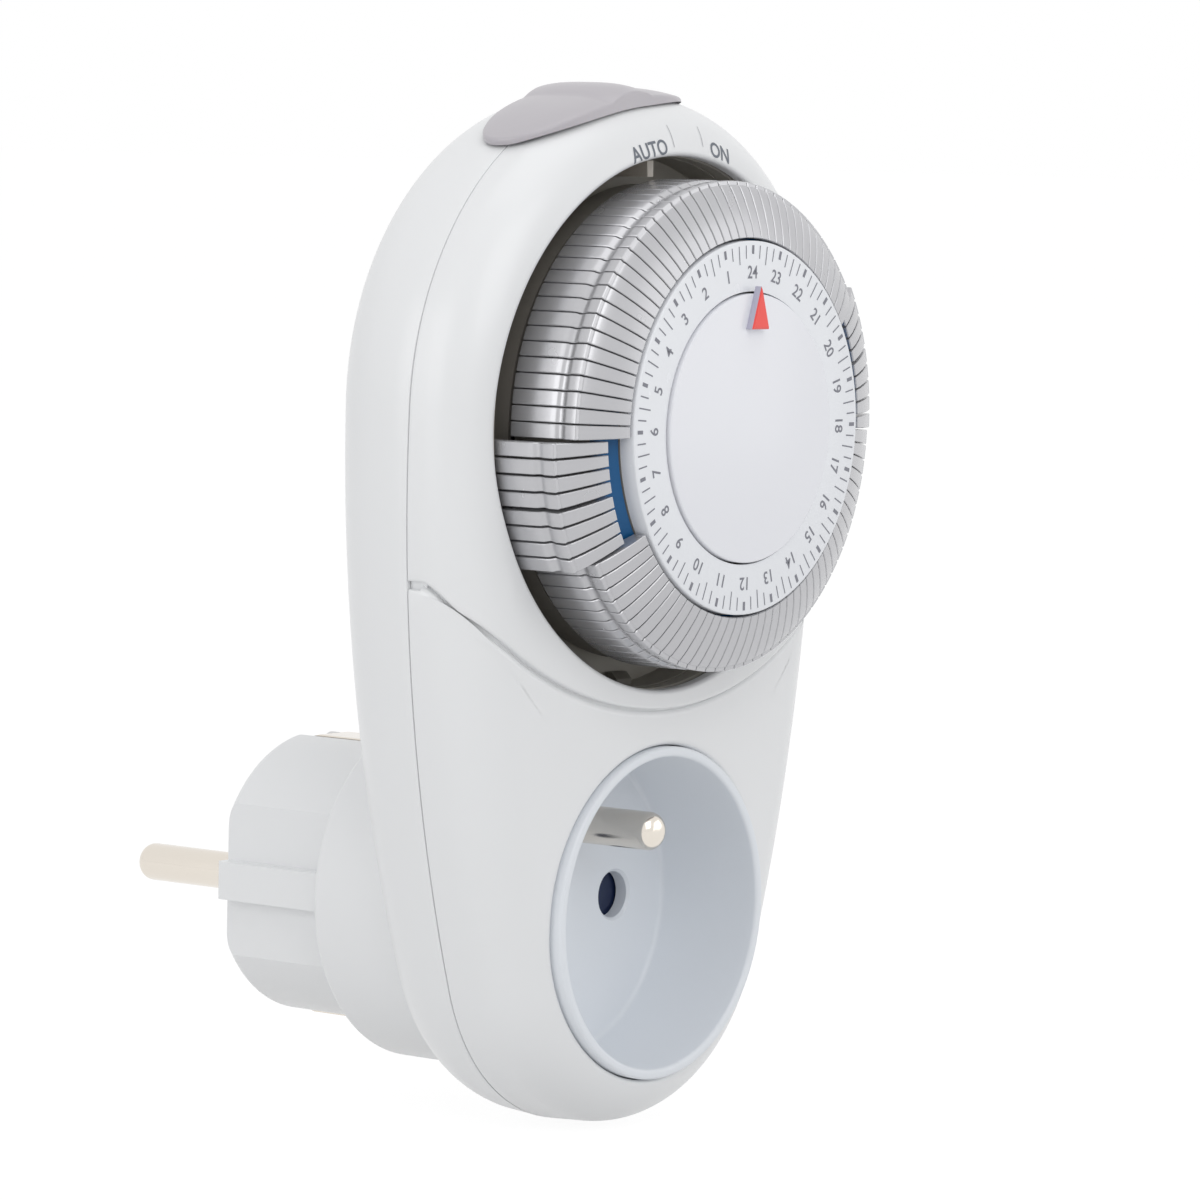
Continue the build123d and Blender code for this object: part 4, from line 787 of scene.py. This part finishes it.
flat_disc(
    "dial_plate", DISC_R + DISC_GAP, FACE_R, FACE_Y, PLATE_Y, PLATE_EDGE, "dial",
    swap=("dial_face",),
)
flat_disc(
    "disc_front", AXIS_R, DISC_R, DISC_Y, DISC_BACK_Y, DISC_EDGE, "case",
    mats=["disc_white"], swap=("center_disc",),
)
lathe(
    "blue_band",
    [(BLUE_IN_R, under_tabs(BLUE_IN_R)), (BLUE_OUT_R, under_tabs(BLUE_OUT_R)),
     (BLUE_OUT_R, BLUE_BACK_Y), (BLUE_IN_R, BLUE_BACK_Y)],
    "dial", "ring_blue", swap=("blue_ring",),
)
build_drum()
for hour in range(1, HOURS + 1):
    first, last = TABS_PER_HOUR * (hour - 1) + 1, TABS_PER_HOUR * hour
    if last == SINGLE_TAB:
        last -= 1
    tab_group(f"tabs_{hour:02d}", first, last, TAB_TRAVEL if hour in PUSHED_HOURS else 0.0)
tab_group("tab_18_00", SINGLE_TAB, SINGLE_TAB, TAB_TRAVEL)


# ---------------------------------------------------------------- print
def on_dial(angle, radius, across):
    """Point on the dial's printed face; angle in radians from +X towards +Z."""
    x = radius * math.cos(angle) + across * math.sin(angle)
    z = radius * math.sin(angle) - across * math.cos(angle)
    return (x, FACE_Y - INK, DIAL_Z + z)


def on_cover(phi, radius):
    """Point on the dial cover's front; phi in radians clockwise from straight up."""
    x, z = radius * math.sin(phi), DIAL_Z + radius * math.cos(phi)
    fall = 0.0
    if radius < RECESS_R + RECESS_LIP:
        back = (RECESS_R + RECESS_LIP - radius) / RECESS_LIP
        fall = RECESS_LIP * (1 - math.sqrt(max(1 - back**2, 0.0)))
    return (x, front_y(x, z) + fall - 2 * INK, z)


def build_ticks():
    """Quarter, half and hour marks round the dial's rim."""
    mesh = Mesh()
    for k in range(TABS):
        marks = {0: HOUR_TICK, 2: HALF_TICK}
        inner, width = marks.get(k % TABS_PER_HOUR, QUARTER_TICK)
        half = width / 2
        corners = ((inner, -half), (TICK_OUT_R, -half), (TICK_OUT_R, half), (inner, half))
        mesh.add([on_dial(quarter_turn(k), r, across) for r, across in corners], [(0, 1, 2, 3)])
    piece("dial_ticks", mesh.verts, mesh.faces, "dial", "dial_white", mats=["print_grey"])


def flat_text(text, size, weight=0.0, cuts=0):
    """Text filled with faces, centred at (0, 0); cuts divides them for a curved surface."""
    curve = bpy.data.curves.new("text", "FONT")
    curve.body = text
    curve.size = size
    curve.align_x, curve.align_y = "CENTER", "CENTER"
    curve.fill_mode = "FRONT"
    curve.offset = weight
    curve.resolution_u = 4
    source = bpy.data.objects.new("text", curve)
    bpy.context.scene.collection.objects.link(source)
    depsgraph = bpy.context.evaluated_depsgraph_get()
    mesh = bpy.data.meshes.new_from_object(source.evaluated_get(depsgraph))
    work = bmesh.new()
    work.from_mesh(mesh)
    bmesh.ops.triangulate(work, faces=work.faces)
    if cuts:
        bmesh.ops.subdivide_edges(work, edges=work.edges, cuts=cuts, use_grid_fill=True)
    work.verts.index_update()
    points = [(v.co.x, v.co.y) for v in work.verts]
    faces = [tuple(v.index for v in f.verts) for f in work.faces]
    work.free()
    bpy.data.objects.remove(source)
    bpy.data.meshes.remove(mesh)
    return points, faces


def build_numbers():
    """The hours 1 to 24 round the dial."""
    mesh = Mesh()
    for hour in range(1, HOURS + 1):
        turn = quarter_turn(TABS_PER_HOUR * hour)
        points, faces = flat_text(str(hour), NUMBER_SIZE, NUMBER_WEIGHT)
        mesh.add([on_dial(turn, NUMBER_R + y, x * NUMBER_WIDTH) for x, y in points], faces)
    piece("dial_numbers", mesh.verts, mesh.faces, "dial", "dial_white", mats=["print_grey"])


def build_cover_words():
    """AUTO and ON over the recess."""
    mesh = Mesh()
    for word, degrees, radius, width in COVER_WORDS:
        points, faces = flat_text(word, WORD_SIZE, WORD_WEIGHT, WORD_CUTS)
        span = max(x for x, _ in points) - min(x for x, _ in points)
        turns = width / span / radius
        placed = [on_cover(math.radians(degrees) + x * turns, radius + y) for x, y in points]
        mesh.add(placed, faces)
    piece("cover_words", mesh.verts, mesh.faces, "case", "housing_white", mats=["label_grey"])


def build_cover_lines():
    """The two fine lines between AUTO and ON: flat grey strips, painted shade of lines engraved in
    the cover.
    """
    mesh = Mesh()
    for degrees, low, high in COVER_LINES:
        turn = math.radians(degrees)
        rows = []
        for radius in spread(low, high, 8):
            half = LINE_HALF / radius
            rows.append([on_cover(turn - half, radius), on_cover(turn + half, radius)])
        mesh.grid(rows)
    piece("cover_lines", mesh.verts, mesh.faces, "case", "housing_white", mats=["engraved_line_painted_shade"])


def build_pointer():
    """Raised coral triangle; its side walls are lilac grey, painted shade on white plastic."""
    corners = [(-POINTER_HALF, POINTER_FOOT), (POINTER_HALF, POINTER_FOOT), (0.0, POINTER_TIP)]
    mid_z = sum(z for _, z in corners) / 3
    mesh = Mesh()
    rows = []
    for rise, drawn in ((0.0, 0.0), (POINTER_SIDE, 0.0), (POINTER_TOP, POINTER_DRAWN)):
        placed = [(x - x * drawn, DIAL_Z + z + (mid_z - z) * drawn) for x, z in corners]
        rows.append([(x, DISC_Y - rise, z) for x, z in placed])
    # The side walls take the lilac grey: painted shade.
    mesh.grid(rows[:2], closed=True, mat=1)
    mesh.grid(rows[1:], closed=True)
    mesh.add(rows[-1], [(0, 1, 2)])
    piece(
        "pointer_mark", mesh.verts, mesh.faces, "case", "pointer_coral",
        mats=["pointer_coral", "pointer_side_painted_shade"], face_mats=mesh.mats, swap=("pointer",),
    )


build_ticks()
build_numbers()
build_cover_words()
build_cover_lines()
build_pointer()


# ---------------------------------------------------------------- override cap
CAP_COLUMNS, CAP_ROWS = 140, 36


def cap_width(along):
    """Half width of the cap, as a share, at a share of its length from -1 to 1."""
    power = CAP_LEFT_POWER if along < 0 else CAP_RIGHT_POWER
    return (1 - min(abs(along), 1.0) ** power) ** (1 / CAP_SIDE_POWER)


def cap_place(along, across, inset=0.0):
    """Reach and wide in millimetres from shares of the cap's plan, drawn in by an inset."""
    length = CAP_LEFT if along < 0 else CAP_RIGHT
    width = CAP_FRONT if across < 0 else CAP_BACK
    return along * (length - inset), across * (width - inset)


def cap_top(reach, wide):
    """Distance of the cap's top from the dial axis."""
    base = CAP_R + CAP_RISE - CAP_CROWN * abs(wide / CAP_FRONT) ** 3
    base -= CAP_TAPER * (max(reach, 0) / CAP_RIGHT) ** 2
    hump = base + THUMB_RISE - (reach - THUMB_AT) ** 2 * (1 / THUMB_R - 1 / CAP_R) / 2
    return (base + hump + math.sqrt((base - hump) ** 2 + THUMB_BLEND**2)) / 2


def cap_under(reach, y):
    """Distance of the cap's lower edge from the dial axis, close over the housing."""
    if y < FRONT_Y + FRONT_ROUND:
        mid_y, bend = FRONT_Y + FRONT_ROUND, FRONT_ROUND
    elif y > REAR_Y - REAR_ROUND:
        mid_y, bend = REAR_Y - REAR_ROUND, REAR_ROUND
    else:
        mid_y, bend = y, 0.0
    off = min(abs(y - mid_y), bend)
    fall = bend - math.sqrt(bend**2 - off**2)
    return CAP_R - CAP_CLEAR - fall - CAP_END_DROP * abs(reach / CAP_LEFT) ** 3


def cap_point(reach, wide, height):
    """Point at this distance from the dial axis."""
    turn = CAP_LEAN + reach / CAP_R
    return (height * math.sin(turn), CAP_Y + wide, DIAL_Z + height * math.cos(turn))


def build_cap():
    """Crowned cap with a thumb hump, a rounded rim and a side that follows the housing."""
    mesh = Mesh()
    columns = [math.sin(a) for a in spread(-math.pi / 2, math.pi / 2, CAP_COLUMNS)]
    rows = []
    for along in columns:
        shares = [share * cap_width(along) for share in spread(-1, 1, CAP_ROWS)]
        places = [cap_place(along, across, CAP_EDGE) for across in shares]
        rows.append([cap_point(reach, wide, cap_top(reach, wide)) for reach, wide in places])
    mesh.grid(rows)
    rim = [(along, cap_width(along)) for along in columns]
    rim += [(along, -cap_width(along)) for along in reversed(columns)]
    rings = []
    for degrees in (0, 30, 60, 90):
        turn = math.radians(degrees)
        inset, fall = CAP_EDGE * (1 - math.sin(turn)), CAP_EDGE * (1 - math.cos(turn))
        ring = []
        for along, across in rim:
            height = cap_top(*cap_place(along, across, CAP_EDGE)) - fall
            ring.append(cap_point(*cap_place(along, across, inset), height))
        rings.append(ring)
    skirt = []
    for along, across in rim:
        reach, wide = cap_place(along, across)
        lowest = min(cap_under(reach, CAP_Y + wide), cap_top(reach, wide) - CAP_SIDE_MIN)
        skirt.append(cap_point(reach, wide, lowest))
    mesh.grid(rings + [skirt], closed=True)
    piece(
        "cap_shell", mesh.verts, mesh.faces, "override", "cap_grey",
        swap=("override_cap",), sharp=CAP_SHARP,
    )


build_cap()


# ---------------------------------------------------------------- socket and pins
def build_socket():
    """Bowl with a rounded rim, and its floor with the pin holes."""
    in_rim_y = CUP_RIM_Y + CUP_IN_ROUND - CUP_OUT_ROUND
    low_y = CUP_FLOOR_Y - CUP_FLOOR_ROUND
    profile = [(CUP_OUT_R, CUP_BACK_Y), (CUP_OUT_R, CUP_RIM_Y)]
    profile += arc(CUP_OUT_R - CUP_OUT_ROUND, CUP_RIM_Y, CUP_OUT_ROUND, 0, -90)
    profile += arc(CUP_R + CUP_IN_ROUND, in_rim_y, CUP_IN_ROUND, -90, -180)
    profile += [(CUP_R, CUP_WALL_Y), (CUP_R, low_y)]
    profile += arc(CUP_R - CUP_FLOOR_ROUND, low_y, CUP_FLOOR_ROUND, 0, 90)
    mesh = Mesh()
    rows = [circle(r, y) for r, y in profile]
    mesh.grid(rows, closed=True)
    holes = ((-PIN_X, 0.0, PIN_HOLE), (PIN_X, 0.0, PIN_HOLE), (0.0, EARTH_Z, EARTH_HOLE))
    rims = [circle(rim, CUP_FLOOR_Y, x, z, PIN_SIDES) for x, z, (rim, _) in holes]
    fill_round_holes(mesh, rows[-1], rims)
    for x, z, (rim, bore) in holes:
        steps = ((rim, CUP_FLOOR_Y), (bore, CUP_FLOOR_Y + (rim - bore)), (bore, HOLE_BACK_Y))
        mesh.grid([circle(r, y, x, z, PIN_SIDES) for r, y in steps], closed=True)
    piece(
        "socket_bowl", mesh.verts, mesh.faces, "case", "socket_white",
        swap=("socket_cup",), sharp=SOCKET_SHARP,
    )


def pin(name, node, x, z, tip, root):
    """Round pin along Y with a rounded tip."""
    toward = 1 if root > tip else -1
    profile = [(AXIS_R, tip)]
    for degrees in range(10, 91, 10):
        turn = math.radians(degrees)
        radius = PIN_R - PIN_ROUND * (1 - math.sin(turn))
        profile.append((radius, tip + toward * PIN_ROUND * (1 - math.cos(turn))))
    profile.append((PIN_R, root))
    lathe(
        name, profile, "case", "nickel", cx=x, cz=z, count=PIN_SIDES, closed=False, swap=(node,),
    )


build_socket()
pin("earth_pin_front", "socket_earth_pin", 0, EARTH_Z, EARTH_TIP_Y, EARTH_ROOT_Y)
pin("plug_pin_a", "plug_pin_left", -PIN_X, 0, PLUG_TIP_Y, PLUG_ROOT_Y)
pin("plug_pin_b", "plug_pin_right", PIN_X, 0, PLUG_TIP_Y, PLUG_ROOT_Y)

# ---------------------------------------------------------------- camera
CAMERA_AZIMUTH, CAMERA_ELEVATION = math.radians(-52.383), math.radians(4.513)
CAMERA_ROLL = math.radians(1.390)
CAMERA_DISTANCE, CAMERA_SIDE, CAMERA_DROP = 699.77, -17.564, 20.972
FOCAL_PIXELS, PHOTO_PIXELS, SENSOR = 5736.0, 1200, 36.0


def build_camera():
    """Camera at the photograph's viewing angle."""
    east, north = math.sin(CAMERA_AZIMUTH), -math.cos(CAMERA_AZIMUTH)
    flat = math.cos(CAMERA_ELEVATION)
    back = Vector((east * flat, north * flat, math.sin(CAMERA_ELEVATION)))
    level = (-back).cross(Vector((0, 0, 1))).normalized()
    upright = level.cross(-back).normalized()
    right = level * math.cos(CAMERA_ROLL) + upright * math.sin(CAMERA_ROLL)
    up = upright * math.cos(CAMERA_ROLL) - level * math.sin(CAMERA_ROLL)
    aim = Vector((0, FACE_Y, DIAL_Z - CAMERA_DROP))
    spot = aim + right * CAMERA_SIDE + back * CAMERA_DISTANCE
    data = bpy.data.cameras.new("camera")
    data.sensor_width = SENSOR
    data.lens = FOCAL_PIXELS / PHOTO_PIXELS * SENSOR
    data.clip_start, data.clip_end = 0.05, 40.0
    camera = bpy.data.objects.new("camera", data)
    bpy.context.scene.collection.objects.link(camera)
    turned = Matrix((right, up, back)).transposed().to_4x4()
    camera.matrix_world = Matrix.Translation(spot * MM) @ turned
    bpy.context.scene.camera = camera


build_camera()

# ---------------------------------------------------------------- stage and light, in metres
FLOOR_Z, FLOOR_SIZE = -0.0275, 60
FLOOR_GREY, FLOOR_ROUGH, FLOOR_GLOW, FLOOR_WHITE = 0.82, 0.9, 0.86, 1.1
WORLD_TINT, WORLD_STRENGTH = (0.985, 0.99, 1.0, 1), 0.5
LAMP_AIM = Vector((0, -0.04, 0.04))
LAMPS = (  # name, place, size, power
    ("key", (-0.5, -1.0, 0.8), 0.9, 4.2),
    ("side", (-1.1, 0.3, 0.3), 0.8, 3.2),
    ("fill", (0.7, -0.9, 0.2), 0.8, 1.6),
    ("top", (0.0, -0.1, 1.1), 0.9, 2.2),
)


def background_rays(nodes, links):
    """1 for camera, glossy and transmission rays, otherwise 0."""
    path = nodes.new("ShaderNodeLightPath")
    total = path.outputs["Is Camera Ray"]
    for name in ("Is Glossy Ray", "Is Transmission Ray"):
        larger = nodes.new("ShaderNodeMath")
        larger.operation = "MAXIMUM"
        links.new(total, larger.inputs[0])
        links.new(path.outputs[name], larger.inputs[1])
        total = larger.outputs[0]
    return total


def build_floor():
    """White floor that keeps a faint shadow where it is seen."""
    made = bpy.data.materials.new("floor")
    made.use_nodes = True
    nodes, links = made.node_tree.nodes, made.node_tree.links
    shader = nodes["Principled BSDF"]
    shader.inputs["Base Color"].default_value = (FLOOR_GREY, FLOOR_GREY, FLOOR_GREY, 1)
    shader.inputs["Roughness"].default_value = FLOOR_ROUGH
    shader.inputs["Specular IOR Level"].default_value = 0.0
    white = nodes.new("ShaderNodeEmission")
    white.inputs["Strength"].default_value = FLOOR_WHITE
    share = nodes.new("ShaderNodeMath")
    share.operation = "MULTIPLY"
    share.inputs[1].default_value = FLOOR_GLOW
    links.new(background_rays(nodes, links), share.inputs[0])
    mix = nodes.new("ShaderNodeMixShader")
    links.new(share.outputs[0], mix.inputs["Fac"])
    links.new(shader.outputs["BSDF"], mix.inputs[1])
    links.new(white.outputs["Emission"], mix.inputs[2])
    links.new(mix.outputs["Shader"], nodes["Material Output"].inputs["Surface"])
    bpy.ops.mesh.primitive_plane_add(size=FLOOR_SIZE, location=(0, 0, FLOOR_Z))
    floor = bpy.context.object
    floor.name = "floor"
    floor.data.materials.append(made)


def build_world():
    """Soft light from all sides, seen as white."""
    world = bpy.data.worlds.new("world")
    bpy.context.scene.world = world
    world.use_nodes = True
    nodes, links = world.node_tree.nodes, world.node_tree.links
    light = nodes["Background"]
    light.inputs["Color"].default_value = WORLD_TINT
    light.inputs["Strength"].default_value = WORLD_STRENGTH
    seen = nodes.new("ShaderNodeBackground")
    seen.inputs["Color"].default_value = (1, 1, 1, 1)
    mix = nodes.new("ShaderNodeMixShader")
    links.new(background_rays(nodes, links), mix.inputs["Fac"])
    links.new(light.outputs["Background"], mix.inputs[1])
    links.new(seen.outputs["Background"], mix.inputs[2])
    links.new(mix.outputs["Shader"], nodes["World Output"].inputs["Surface"])


def area_light(name, place, size, power):
    """Square soft light aimed at the middle of the object."""
    data = bpy.data.lights.new(name, "AREA")
    data.shape = "SQUARE"
    data.size = size
    data.energy = power
    lamp = bpy.data.objects.new(name, data)
    bpy.context.scene.collection.objects.link(lamp)
    lamp.location = place
    lamp.rotation_mode = "QUATERNION"
    lamp.rotation_quaternion = (LAMP_AIM - Vector(place)).to_track_quat("-Z", "Y")


build_floor()
build_world()
for lamp in LAMPS:
    area_light(*lamp)
bpy.context.scene.view_settings.view_transform = "Standard"
